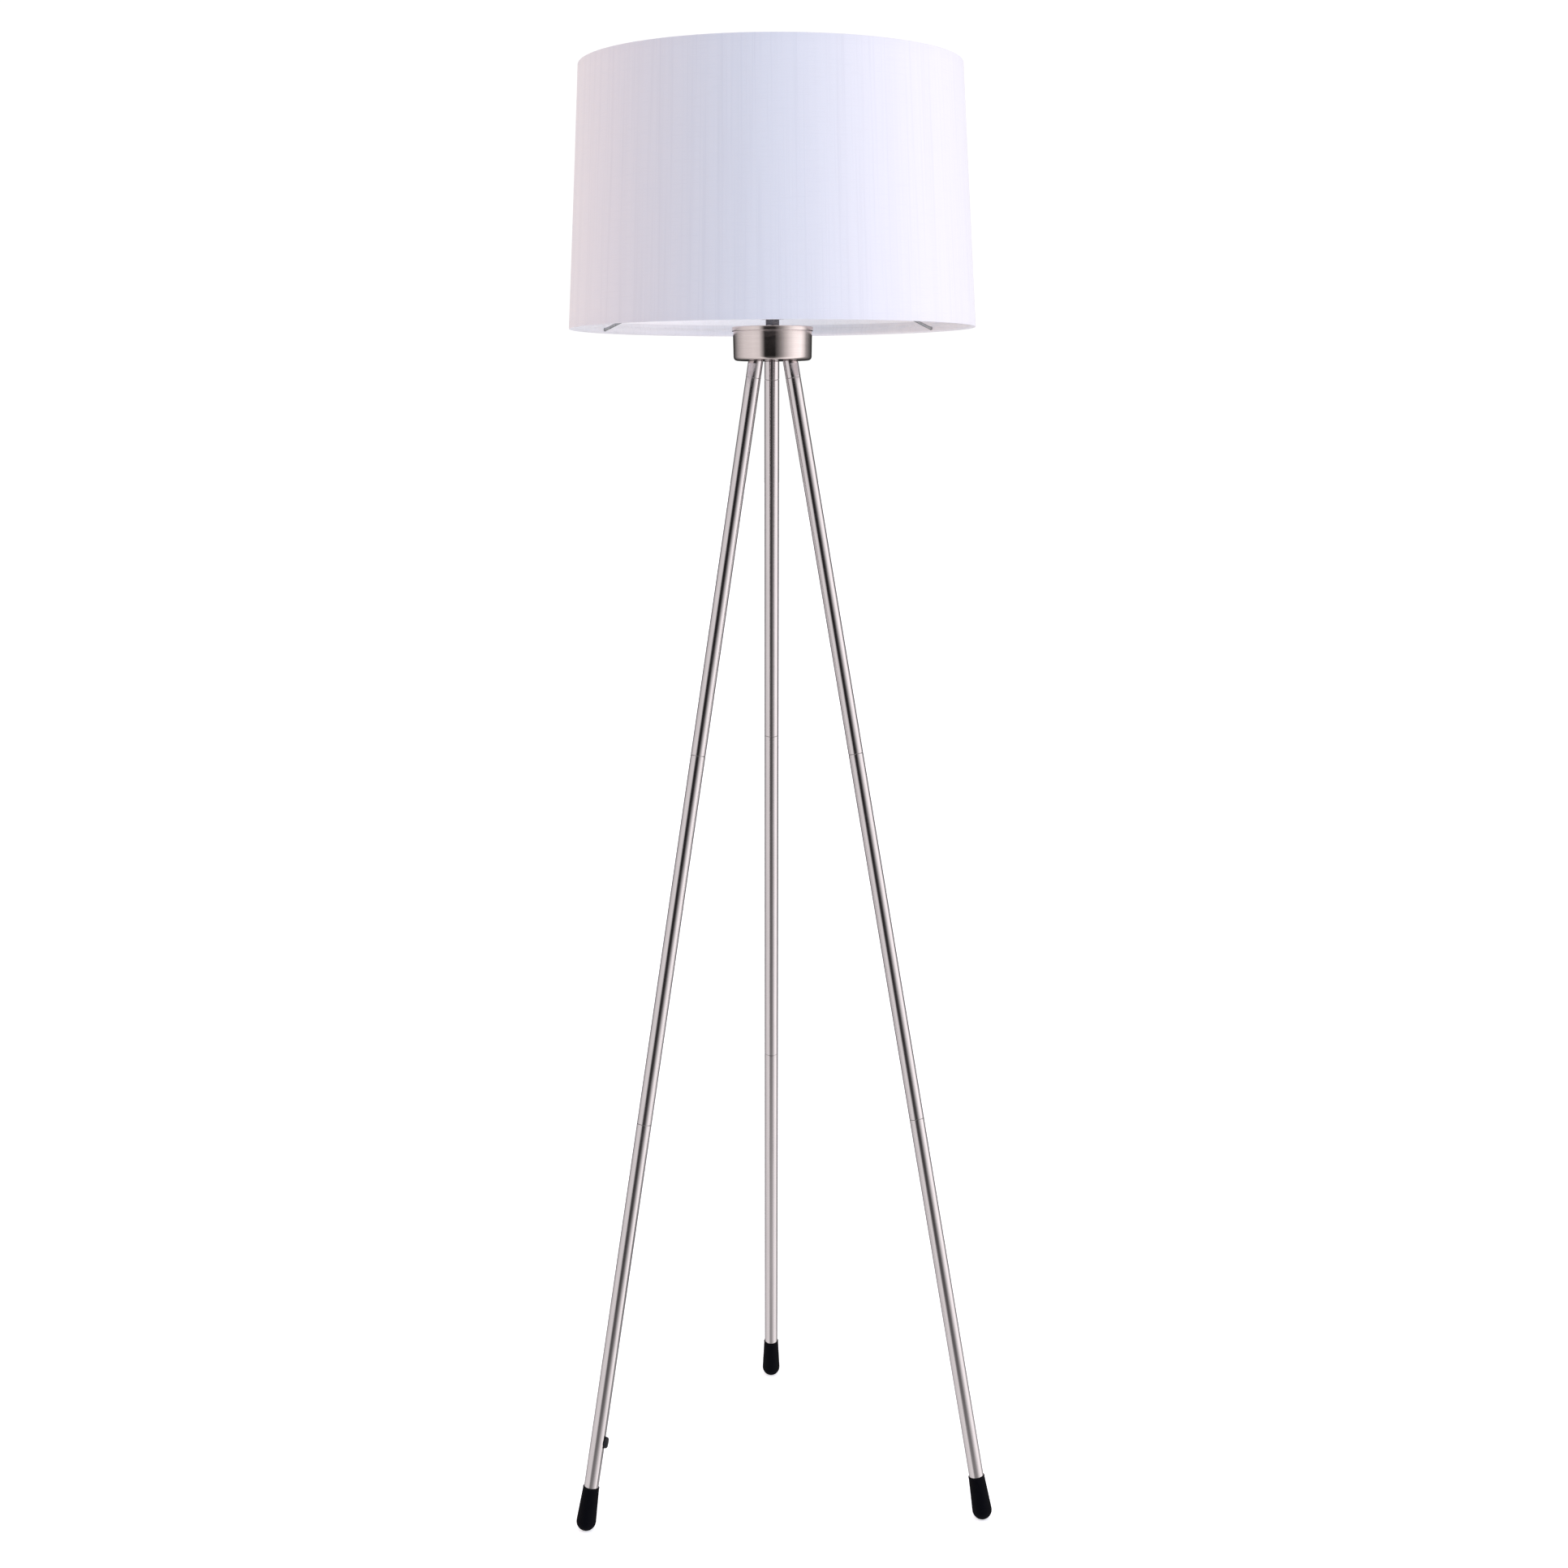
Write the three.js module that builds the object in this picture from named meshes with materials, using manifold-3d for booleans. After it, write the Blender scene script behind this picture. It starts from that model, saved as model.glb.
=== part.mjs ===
// Tripod floor lamp: three screwed tube legs on rubber feet, a turned steel hub, a lampholder with a
// rotary switch and a bulb, and a tapered drum shade carried by a three-arm wire spider.
// Millimetres, +Z up, floor at z = 0. The origin is the centre of the lamp's footprint box, so the
// lamp's own upright axis stands a little to the front of it.

import * as THREE from 'three';
import { mergeVertices } from 'three/addons/utils/BufferGeometryUtils.js';
import Module from 'manifold-3d';

const wasm = await Module();
wasm.setup();

// ---- Driving dimensions ----

// Shade: outer radii at its lower and upper edge, height, wall of the laminated sheet.
const SHADE_BOTTOM_R = 215;
const SHADE_TOP_R = 200;
const SHADE_HEIGHT = 268;
const SHADE_WALL = 1.6;
const SHADE_BOTTOM_Z = 1295;

// Shade frame wires, and the flat fitter ring that the lampholder clamps.
const WIRE_R = 1.5;
const ARM_R = 1.6;
const RING_INSET = 4;
const RING_GLUE_GAP = 0.4;
const FITTER_BORE_R = 21.3;
const FITTER_OUTER_R = 28.2;
const FITTER_THICKNESS = 1.6;
const FITTER_Z = 1367.3;
const ARM_LEVEL_R = 34;
const ARM_BEND_R = 42;
const ARM_LEVEL_DROP = 1;
const ARM_BEND_DROP = 3.6;
const ARM_FOOT_RUN = 5;
const ARM_FOOT_RISE = 1.6;

// Legs: tube, foot, and where a leg's axis starts and ends.
const TUBE_R = 8;
const TUBE_BORE_R = 6.8;
const TUBE_EDGE = 0.4;
const FOOT_R = 10.8;
const FOOT_TOP_R = 8.9;
const FOOT_TOP_S = 39;
const FOOT_FLAT_R = 3.5;
const FOOT_LIP = 0.8;
const FOOT_SOLE = 1.5;
const FOOT_CIRCLE_R = 252;
const HUB_CIRCLE_R = 21;
const HUB_BOTTOM_Z = 1262;
const STUB_LENGTH = 19;
const SECTION_LENGTH = 404;

// Threaded pieces: every stud and nipple of the lamp has the same outside and bore.
const STUD_R = 4.8;
const STUD_BORE_R = 3.4;
const THREAD_HOLE_R = 5.1;
const SOCKET_DEPTH = 14;
const NIPPLE_REACH = 13;
const STUD_REACH = 22;
const NUT_FLATS = 14;
const NUT_HEIGHT = 5;

// Hub.
const HUB_R = 42;
const HUB_WALL = 1.6;
const HUB_FLOOR = 2;
const HUB_CORNER_R = 4;
const HUB_CUP_HEIGHT = 30.5;
const LID_R = 43.2;
const LID_THICKNESS = 4.5;
const LID_SPIGOT = 3;
const PLATE_R = 37.5;
const PLATE_THICKNESS = 5;
const BOSS_R = 8.5;
const BOSS_REACH = 14;
const WASHER_R = 11;
const WASHER_THICKNESS = 1.2;

// Cord outlet in the left leg: measured up the leg from the foot's centre, and round it in degrees from the
// leg's inner side towards the front.
const GROMMET_S = 90;
const GROMMET_TURN = 36;
const GROMMET_HALF_LENGTH = 6.25;
const GROMMET_HALF_WIDTH = 5.25;
const GROMMET_PROUD = 3.5;
const GROMMET_EDGE = 1;
const GROMMET_DEPTH = 3;
const GROMMET_NECK_R = 4.6;
const GROMMET_BORE_R = 3.1;

// Lampholder, switch and bulb.
const CAP_Z = 1305;
const CAP_HEIGHT = 16;
const CAP_R = 18;
const CAP_WALL = 1.5;
const CAP_BEND_R = 8;
const BODY_BORE_R = 16.5;
const NECK_R = 20.5;
const SHOULDER_R = 25;
const SHOULDER_THICKNESS = 3;
const BODY_TOP_Z = 1382;
const CLAMP_RING_R = 25.5;
const CLAMP_RING_HEIGHT = 7.3;
const SWITCH_Z = 1331;
const SWITCH_AZIMUTH = 330;
const STEM_R = 3;
const KNOB_R = 8;
const KNOB_LENGTH = 14;
const KNOB_START = 31;
const KNOB_FLUTE = 1.4;
const KNOB_FLUTES = 10;
const STEM_REACH = 38;
const STEM_HOLE_GAP = 0.4;
const SWITCH_BOSS_R = 5.5;
const SWITCH_BOSS_REACH = 24;
const SWITCH_BLOCK_HEIGHT = 17;
const TERMINAL_BOTTOM = 18.3;
const TERMINAL_TOP = 24;
const SHELL_BASE = 24.3;
const SHELL_BASE_R = 14.2;
const SHELL_R = 14.8;
const SHELL_HOLE_R = 9;
const SHELL_SHEET = 0.6;
const SHELL_THREAD_R = 13.8;
const THREAD_PITCH = 3.63;
const THREAD_DEPTH = 0.35;
const BULB_CAP_Z = 1351;
const BULB_CAP_HEIGHT = 26;
const BULB_THREAD_R = 12.9;
const BULB_COLLAR_R = 12.8;
const BULB_COLLAR_HEIGHT = 5;
const BULB_NECK_R = 12.6;
const BULB_NECK_HEIGHT = 6;
const BULB_GLOBE_R = 30;
const BULB_GLOBE_HEIGHT = 84;
const BULB_WALL = 0.8;

// Seats between touching pieces, and the clearance of turned or cut ones.
const SEAT = 0.05;
const GAP = 0.3;

// Facets round a shade, a hub and a tube.
const SHADE_SEGMENTS = 60;
const HUB_SEGMENTS = 36;
const TUBE_SEGMENTS = 20;
const STUD_SEGMENTS = 12;
const WIRE_SIDES = 6;

// ---- Worked-out dimensions ----

const FOOT_CENTRE_Z = Math.sqrt(FOOT_R ** 2 - FOOT_FLAT_R ** 2);
const LEG_RUN = FOOT_CIRCLE_R - HUB_CIRCLE_R;
const LEG_RISE = HUB_BOTTOM_Z - FOOT_CENTRE_Z;
const LEG_TILT = Math.atan2(LEG_RUN, LEG_RISE);
const LEG_LENGTH = Math.hypot(LEG_RUN, LEG_RISE);
const AXIS_Y = (SHADE_BOTTOM_R - FOOT_CIRCLE_R - FOOT_R) / 2;
const LID_Z = HUB_BOTTOM_Z + HUB_CUP_HEIGHT;
const LID_TOP_Z = LID_Z + LID_THICKNESS;
const BODY_Z = CAP_Z + CAP_HEIGHT + GAP;
const INSERT_R = BODY_BORE_R - 0.4;
const SHELL_Z = BODY_Z + SHELL_BASE;
const LEGS = { back: 90, left: 210, right: 330 };
const OUTLET_TURN = THREE.MathUtils.degToRad(-GROMMET_TURN);
const ARM_AZIMUTHS = [30, 150, 270];

// ---- Finishes ----

function finish(color, roughness, metalness) {
  return new THREE.MeshStandardMaterial({ color, roughness, metalness });
}

const satinSteel = () => finish(0xb9b5b4, 0.32, 1);
const brightSteel = () => finish(0xcfcfd2, 0.15, 1);
const yellowBrass = () => finish(0xc9a653, 0.3, 1);
const blackRubber = () => finish(0x151515, 0.75, 0);
const blackPlastic = () => finish(0x1b1b1c, 0.45, 0);
const whitePlastic = () => finish(0xeeece6, 0.4, 0);
const zincWire = () => finish(0x8d8f93, 0.38, 1);
const whiteCloth = () => finish(0xf3f2f1, 0.9, 0);
const opalGlass = () => finish(0xf6f4ee, 0.35, 0);

// ---- Solids ----

// A closed geometry as a manifold solid, for joining and cutting.
function solid(geometry) {
  const bare = geometry.clone();
  bare.deleteAttribute('normal');
  bare.deleteAttribute('uv');
  const merged = mergeVertices(bare);
  const mesh = new wasm.Mesh({
    numProp: 3,
    vertProperties: merged.attributes.position.array,
    triVerts: new Uint32Array(merged.index.array),
  });
  return new wasm.Manifold(mesh);
}

// A manifold solid as a geometry again.
function shell(body) {
  const mesh = body.getMesh();
  const geometry = new THREE.BufferGeometry();
  geometry.setAttribute('position', new THREE.BufferAttribute(mesh.vertProperties, 3));
  geometry.setIndex(new THREE.BufferAttribute(mesh.triVerts, 1));
  geometry.computeVertexNormals();
  return geometry;
}

// A profile of [radius, height] points turned about +Z. It runs out along the bottom, up the outside
// and back over the top or down the inside.
function turned(profile, segments) {
  const points = profile.map(([r, z]) => new THREE.Vector2(r, z));
  return new THREE.LatheGeometry(points, segments).rotateX(Math.PI / 2);
}

// A closed ring profile: the first point is repeated at the end.
function turnedRing(profile, segments) {
  return turned([...profile, profile[0]], segments);
}

// A plain rod along +Z from z0 to z1.
function rod(radius, z0, z1, segments) {
  return turned([[0, z0], [radius, z0], [radius, z1], [0, z1]], segments);
}

// A tube along +Z from z0 to z1.
function pipe(inner, outer, z0, z1, segments) {
  return turnedRing([[inner, z0], [outer, z0], [outer, z1], [inner, z1]], segments);
}

// Points of an arc in a profile, centred at [r, z], from one angle to another in degrees.
function arc(r, z, radius, from, to, steps) {
  const points = [];
  for (let i = 0; i <= steps; i += 1) {
    const angle = THREE.MathUtils.degToRad(from + ((to - from) * i) / steps);
    points.push([r + radius * Math.cos(angle), z + radius * Math.sin(angle)]);
  }
  return points;
}

// A flat shape pushed up along +Z, with or without a round hole in it.
function plate(points, thickness, holeRadius) {
  const shape = new THREE.Shape(points);
  if (holeRadius) {
    const hole = new THREE.Path();
    hole.absarc(0, 0, holeRadius, 0, Math.PI * 2, true);
    shape.holes.push(hole);
  }
  const curveSegments = TUBE_SEGMENTS / 2;
  return new THREE.ExtrudeGeometry(shape, { depth: thickness, bevelEnabled: false, curveSegments });
}

// A hexagon nut with a threaded hole, standing on z = 0.
function hexNut(height) {
  const corner = NUT_FLATS / 2 / Math.cos(Math.PI / 6);
  const points = [];
  for (let i = 0; i < 6; i += 1) {
    const angle = (i * Math.PI) / 3;
    points.push(new THREE.Vector2(corner * Math.cos(angle), corner * Math.sin(angle)));
  }
  return plate(points, height, THREAD_HOLE_R);
}

// A disc with a rim that waves in and out, standing on z = 0.
function flutedDisc(radius, depth, flutes, height, holeRadius) {
  const points = [];
  const steps = flutes * 4;
  for (let i = 0; i < steps; i += 1) {
    const angle = (i / steps) * Math.PI * 2;
    const r = radius - depth * 0.5 * (1 - Math.cos(angle * flutes));
    points.push(new THREE.Vector2(r * Math.cos(angle), r * Math.sin(angle)));
  }
  return plate(points, height, holeRadius);
}

// A named part of the lamp.
function part(name, geometry, material) {
  const mesh = new THREE.Mesh(geometry, material);
  mesh.name = name;
  return mesh;
}

// ---- Legs ----
// Inside a leg, +Z runs up its axis from the foot's centre and +X points away from the lamp's axis.

function legMatrix() {
  const matrix = new THREE.Matrix4().makeRotationY(-LEG_TILT);
  matrix.setPosition(FOOT_CIRCLE_R, 0, FOOT_CENTRE_Z);
  return matrix;
}

// Rubber boot: a round nose with a level wear face, and a slightly tapered sleeve over the tube.
function footGeometry() {
  const nose = arc(0, 0, FOOT_R, -90, 0, 5);
  const holeR = TUBE_R + GAP;
  const sleeve = [
    [FOOT_TOP_R, FOOT_TOP_S - FOOT_LIP],
    [FOOT_TOP_R - GAP, FOOT_TOP_S],
    [holeR, FOOT_TOP_S],
    [holeR, FOOT_SOLE],
    [0, FOOT_SOLE],
  ];
  const boot = turned([...nose, ...sleeve], TUBE_SEGMENTS).applyMatrix4(legMatrix());
  const below = new THREE.BoxGeometry(60, 60, 20).translate(FOOT_CIRCLE_R, 0, -10);
  return shell(solid(boot).subtract(solid(below)));
}

// One tube section. A screwed end has a welded-in threaded bush; the lowest end is plain.
function tubeGeometry(bottom, top, plainBottom) {
  const bush = SOCKET_DEPTH + 1;
  const bushTaper = bush + 1;
  const screwedBottom = [
    [TUBE_BORE_R, bottom + bushTaper],
    [THREAD_HOLE_R, bottom + bush],
    [THREAD_HOLE_R, bottom],
  ];
  const start = plainBottom ? [[TUBE_BORE_R, bottom]] : screwedBottom;
  const profile = [
    ...start,
    [TUBE_R - TUBE_EDGE, bottom],
    [TUBE_R, bottom + TUBE_EDGE],
    [TUBE_R, top - TUBE_EDGE],
    [TUBE_R - TUBE_EDGE, top],
    [THREAD_HOLE_R, top],
    [THREAD_HOLE_R, top - bush],
    [TUBE_BORE_R, top - bushTaper],
  ];
  return turnedRing(profile, TUBE_SEGMENTS);
}

// Short ferrule under the hub, with a hollow stud that goes up through the hub's floor and plate.
function stubGeometry() {
  const bottom = LEG_LENGTH - STUB_LENGTH;
  const studTop = LEG_LENGTH + STUD_REACH;
  const onLeg = (radius, from, to) => solid(rod(radius, from, to, TUBE_SEGMENTS).applyMatrix4(legMatrix()));
  const stud = onLeg(STUD_R, bottom + 2, studTop);
  const barrelProfile = [
    [0, bottom],
    [TUBE_R - TUBE_EDGE, bottom],
    [TUBE_R, bottom + TUBE_EDGE],
    [TUBE_R, LEG_LENGTH + 3],
    [0, LEG_LENGTH + 3],
  ];
  const barrel = solid(turned(barrelProfile, TUBE_SEGMENTS).applyMatrix4(legMatrix()));
  const above = new THREE.BoxGeometry(80, 80, 20).translate(HUB_CIRCLE_R, 0, HUB_BOTTOM_Z - GAP + 10);
  const socket = onLeg(THREAD_HOLE_R, bottom - 1, bottom + SOCKET_DEPTH);
  const bore = onLeg(STUD_BORE_R, bottom - 1, studTop + 1);
  return shell(barrel.subtract(solid(above)).add(stud).subtract(socket).subtract(bore));
}

// Hollow threaded nipple across a joint between two sections.
function legNippleGeometry(seam) {
  return pipe(STUD_BORE_R, STUD_R, seam - NIPPLE_REACH, seam + NIPPLE_REACH, STUD_SEGMENTS);
}

// Hole through the tube's inner wall for the cord outlet.
function outletHole(tube) {
  const bar = rod(GROMMET_NECK_R + GAP, TUBE_R / 2, TUBE_R * 1.5, TUBE_SEGMENTS);
  const hole = bar.rotateY(-Math.PI / 2).rotateZ(OUTLET_TURN).translate(0, 0, GROMMET_S);
  return shell(solid(tube).subtract(solid(hole)));
}

// Oval bushing that snaps into that hole, saddle-cut to the tube and bored for the cord.
function grommetGeometry() {
  const steps = 20;
  const oval = [];
  for (let i = 0; i < steps; i += 1) {
    const angle = (i / steps) * Math.PI * 2;
    oval.push(new THREE.Vector2(GROMMET_HALF_LENGTH * Math.cos(angle), GROMMET_HALF_WIDTH * Math.sin(angle)));
  }
  const inside = TUBE_R - GROMMET_DEPTH;
  const shrink = 1 - GROMMET_EDGE / GROMMET_HALF_LENGTH;
  const flangeShape = new THREE.Shape(oval.map((p) => p.clone().multiplyScalar(shrink)));
  const flange = new THREE.ExtrudeGeometry(flangeShape, {
    depth: TUBE_R + GROMMET_PROUD - GROMMET_EDGE - inside,
    bevelSize: GROMMET_EDGE,
    bevelThickness: GROMMET_EDGE,
    bevelSegments: 2,
  }).translate(0, 0, inside);
  const tube = rod(TUBE_R + GAP, -20, 20, TUBE_SEGMENTS).rotateY(Math.PI / 2);
  const neck = rod(GROMMET_NECK_R, TUBE_BORE_R - 1.6, TUBE_R + 2, TUBE_SEGMENTS);
  const bore = rod(GROMMET_BORE_R, 0, 20, STUD_SEGMENTS);
  const bushing = solid(flange).subtract(solid(tube)).add(solid(neck)).subtract(solid(bore));
  return shell(bushing).rotateY(-Math.PI / 2).rotateZ(OUTLET_TURN).translate(0, 0, GROMMET_S);
}

function leg(name, azimuth) {
  const upright = new THREE.Group();
  upright.rotation.z = THREE.MathUtils.degToRad(azimuth);
  const axis = new THREE.Group();
  axis.position.set(FOOT_CIRCLE_R, 0, FOOT_CENTRE_Z);
  axis.rotation.y = -LEG_TILT;
  upright.add(axis);

  const seams = [];
  for (let i = 0; i < 3; i += 1) {
    seams.push(LEG_LENGTH - STUB_LENGTH - i * SECTION_LENGTH);
  }
  const [topSeam, middleSeam, lowSeam] = seams;
  const half = GAP / 2;
  const upper = tubeGeometry(middleSeam + half, topSeam - half, false);
  const middle = tubeGeometry(lowSeam + half, middleSeam - half, false);
  const plainLower = tubeGeometry(FOOT_SOLE + GAP, lowSeam - half, true);
  const lower = name === 'left' ? outletHole(plainLower) : plainLower;

  axis.add(part(`leg_upper_${name}`, upper, satinSteel()));
  axis.add(part(`leg_middle_${name}`, middle, satinSteel()));
  axis.add(part(`leg_lower_${name}`, lower, satinSteel()));
  axis.add(part(`leg_nipple_top_${name}`, legNippleGeometry(topSeam), brightSteel()));
  axis.add(part(`leg_nipple_mid_${name}`, legNippleGeometry(middleSeam), brightSteel()));
  axis.add(part(`leg_nipple_low_${name}`, legNippleGeometry(lowSeam), brightSteel()));
  const nut = part(`leg_nut_${name}`, hexNut(NUT_HEIGHT), brightSteel());
  nut.position.z = LEG_LENGTH + BOSS_REACH + GAP;
  axis.add(nut);
  if (name === 'left') {
    axis.add(part('cord_grommet', grommetGeometry(), blackPlastic()));
  }
  upright.add(part(`leg_stub_${name}`, stubGeometry(), satinSteel()));
  upright.add(part(`foot_${name}`, footGeometry(), blackRubber()));
  return upright;
}

// ---- Hub ----

// The three leg holes or bosses, as one list of solids placed round the hub.
function roundTheLegs(radius, from, to) {
  return Object.values(LEGS).map((azimuth) => {
    const bar = rod(radius, LEG_LENGTH + from, LEG_LENGTH + to, TUBE_SEGMENTS).applyMatrix4(legMatrix());
    return solid(bar.rotateZ(THREE.MathUtils.degToRad(azimuth)));
  });
}

function cupGeometry() {
  const inner = HUB_R - HUB_WALL;
  const top = HUB_BOTTOM_Z + HUB_CUP_HEIGHT - SEAT;
  const profile = [
    [0, HUB_BOTTOM_Z],
    ...arc(HUB_R - HUB_CORNER_R, HUB_BOTTOM_Z + HUB_CORNER_R, HUB_CORNER_R, -90, 0, 5),
    [HUB_R, top],
    [inner, top],
    [inner, HUB_BOTTOM_Z + HUB_CORNER_R],
    [HUB_R - HUB_CORNER_R, HUB_BOTTOM_Z + HUB_FLOOR],
    [0, HUB_BOTTOM_Z + HUB_FLOOR],
  ];
  let cup = solid(turned(profile, HUB_SEGMENTS));
  for (const hole of roundTheLegs(THREAD_HOLE_R, -6, 12)) {
    cup = cup.subtract(hole);
  }
  return shell(cup);
}

// Steel plate on the cup's floor, with an angled, drilled boss for each leg's stud.
function socketPlateGeometry() {
  const bottom = HUB_BOTTOM_Z + HUB_FLOOR + SEAT;
  let body = solid(rod(PLATE_R, bottom, bottom + PLATE_THICKNESS, HUB_SEGMENTS));
  for (const boss of roundTheLegs(BOSS_R, HUB_FLOOR + 3, BOSS_REACH)) {
    body = body.add(boss);
  }
  for (const hole of roundTheLegs(THREAD_HOLE_R, -6, BOSS_REACH + 6)) {
    body = body.subtract(hole);
  }
  return shell(body.subtract(solid(rod(THREAD_HOLE_R, bottom - 2, bottom + 20, TUBE_SEGMENTS))));
}

function lidGeometry() {
  const spigotR = HUB_R - HUB_WALL - 2 * GAP;
  const profile = [
    [THREAD_HOLE_R, LID_Z - LID_SPIGOT],
    [spigotR, LID_Z - LID_SPIGOT],
    [spigotR, LID_Z],
    [LID_R - 0.6, LID_Z],
    [LID_R, LID_Z + 0.6],
    [LID_R, LID_TOP_Z - 1],
    [LID_R - 1, LID_TOP_Z],
    [THREAD_HOLE_R, LID_TOP_Z],
  ];
  return turnedRing(profile, HUB_SEGMENTS);
}

function hub() {
  const group = new THREE.Group();
  const nippleBottom = HUB_BOTTOM_Z + HUB_FLOOR + GAP;
  const plateTop = HUB_BOTTOM_Z + HUB_FLOOR + SEAT + PLATE_THICKNESS;
  const nippleTop = CAP_Z + 10;
  const washerTop = LID_TOP_Z + SEAT + WASHER_THICKNESS;
  group.add(part('hub_cup', cupGeometry(), satinSteel()));
  group.add(part('hub_lid', lidGeometry(), satinSteel()));
  group.add(part('leg_socket_plate', socketPlateGeometry(), brightSteel()));
  const nipple = pipe(STUD_BORE_R, STUD_R, nippleBottom, nippleTop, TUBE_SEGMENTS);
  const washer = pipe(THREAD_HOLE_R, WASHER_R, LID_TOP_Z + SEAT, washerTop, TUBE_SEGMENTS);
  group.add(part('centre_nipple', nipple, brightSteel()));
  group.add(part('lid_washer', washer, satinSteel()));
  const plateNut = part('plate_nut', hexNut(NUT_HEIGHT), brightSteel());
  plateNut.position.z = plateTop + SEAT;
  group.add(plateNut);
  const lidNut = part('lid_nut', hexNut(CAP_Z - washerTop - 2 * SEAT), brightSteel());
  lidNut.position.z = washerTop + SEAT;
  group.add(lidNut);
  return group;
}

// ---- Lampholder, switch and bulb ----

function capGeometry() {
  const flatR = CAP_R - CAP_BEND_R;
  const profile = [
    [THREAD_HOLE_R, 0],
    [flatR, 0],
    ...arc(flatR, CAP_BEND_R, CAP_BEND_R, -90, 0, 4),
    [CAP_R, CAP_HEIGHT],
    [CAP_R - CAP_WALL, CAP_HEIGHT],
    ...arc(flatR, CAP_BEND_R, CAP_BEND_R - CAP_WALL, 0, -90, 4),
    [THREAD_HOLE_R, CAP_WALL],
  ];
  return turnedRing(profile, TUBE_SEGMENTS).translate(0, 0, CAP_Z);
}

// A bar along the switch's axis, from one distance to another out from the lamp's axis.
function switchBar(radius, from, to) {
  const bar = rod(radius, from, to, TUBE_SEGMENTS).rotateY(Math.PI / 2);
  return bar.rotateZ(THREE.MathUtils.degToRad(SWITCH_AZIMUTH)).translate(0, 0, SWITCH_Z);
}

// Insulating body: a sleeve with a shoulder under the shade's fitter and a threaded neck above it.
function bodyGeometry() {
  const shoulderTop = FITTER_Z - GAP;
  const shoulderBottom = shoulderTop - SHOULDER_THICKNESS;
  const profile = [
    [BODY_BORE_R, BODY_Z],
    [CAP_R, BODY_Z],
    [CAP_R, shoulderBottom - 3],
    [SHOULDER_R, shoulderBottom],
    [SHOULDER_R, shoulderTop],
    [NECK_R, shoulderTop],
    [NECK_R, BODY_TOP_Z - 0.8],
    [NECK_R - 0.8, BODY_TOP_Z],
    [BODY_BORE_R, BODY_TOP_Z],
  ];
  const sleeve = solid(turnedRing(profile, HUB_SEGMENTS));
  const boss = solid(switchBar(SWITCH_BOSS_R, BODY_BORE_R + 1, SWITCH_BOSS_REACH));
  const stemHole = solid(switchBar(STEM_R + STEM_HOLE_GAP, 0, SWITCH_BOSS_REACH + 6));
  return shell(sleeve.add(boss).subtract(stemHole));
}

function switchBlockGeometry() {
  const bottom = BODY_Z + 1;
  const block = solid(rod(INSERT_R, bottom, bottom + SWITCH_BLOCK_HEIGHT, TUBE_SEGMENTS));
  return shell(block.subtract(solid(switchBar(STEM_R + STEM_HOLE_GAP, 4, SWITCH_BOSS_REACH))));
}

// Spring tongue that touches the bulb's foot, bent up from a flat strip.
function contactGeometry() {
  const width = 4;
  const strip = [
    [-7, 0],
    [1, 0],
    [4.4, 4.2],
    [6.5, 4.2],
    [6.5, 4.2 + SHELL_SHEET],
    [4.1, 4.2 + SHELL_SHEET],
    [0.7, SHELL_SHEET],
    [-7, SHELL_SHEET],
  ];
  const shape = new THREE.Shape(strip.map(([x, z]) => new THREE.Vector2(x, z)));
  const tongue = new THREE.ExtrudeGeometry(shape, { depth: width, bevelEnabled: false });
  return tongue.translate(0, 0, -width / 2).rotateX(Math.PI / 2).translate(0, 0, SHELL_Z);
}

// A rolled lamp thread as profile points: crests and roots take turns every half pitch, counted up
// from the bulb's foot.
function threadProfile(mean, first, last) {
  const points = [];
  for (let i = first; i <= last; i += 1) {
    const r = mean + (i % 2 === 0 ? THREAD_DEPTH : -THREAD_DEPTH);
    points.push([r, BULB_CAP_Z + (i * THREAD_PITCH) / 2]);
  }
  return points;
}

function screwShellGeometry() {
  const lastHalfPitch = 15;
  const top = BULB_CAP_Z + (lastHalfPitch / 2) * THREAD_PITCH;
  const profile = [
    [SHELL_HOLE_R, SHELL_Z],
    [SHELL_BASE_R, SHELL_Z],
    [SHELL_R, BULB_CAP_Z],
    [SHELL_R, top],
    ...threadProfile(SHELL_THREAD_R, 0, lastHalfPitch).reverse(),
    [SHELL_THREAD_R - 0.4, SHELL_Z + SHELL_SHEET],
    [SHELL_HOLE_R, SHELL_Z + SHELL_SHEET],
  ];
  return turnedRing(profile, TUBE_SEGMENTS);
}

function bulbCapGeometry() {
  const top = BULB_CAP_Z + BULB_CAP_HEIGHT;
  const profile = [
    [0, BULB_CAP_Z],
    [4.5, BULB_CAP_Z + 0.5],
    [5, BULB_CAP_Z + 2],
    [9.5, BULB_CAP_Z + 4.5],
    ...threadProfile(BULB_THREAD_R, 3, 11),
    [BULB_COLLAR_R, top - BULB_COLLAR_HEIGHT],
    [BULB_COLLAR_R, top],
    [0, top],
  ];
  return turned(profile, TUBE_SEGMENTS);
}

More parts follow.
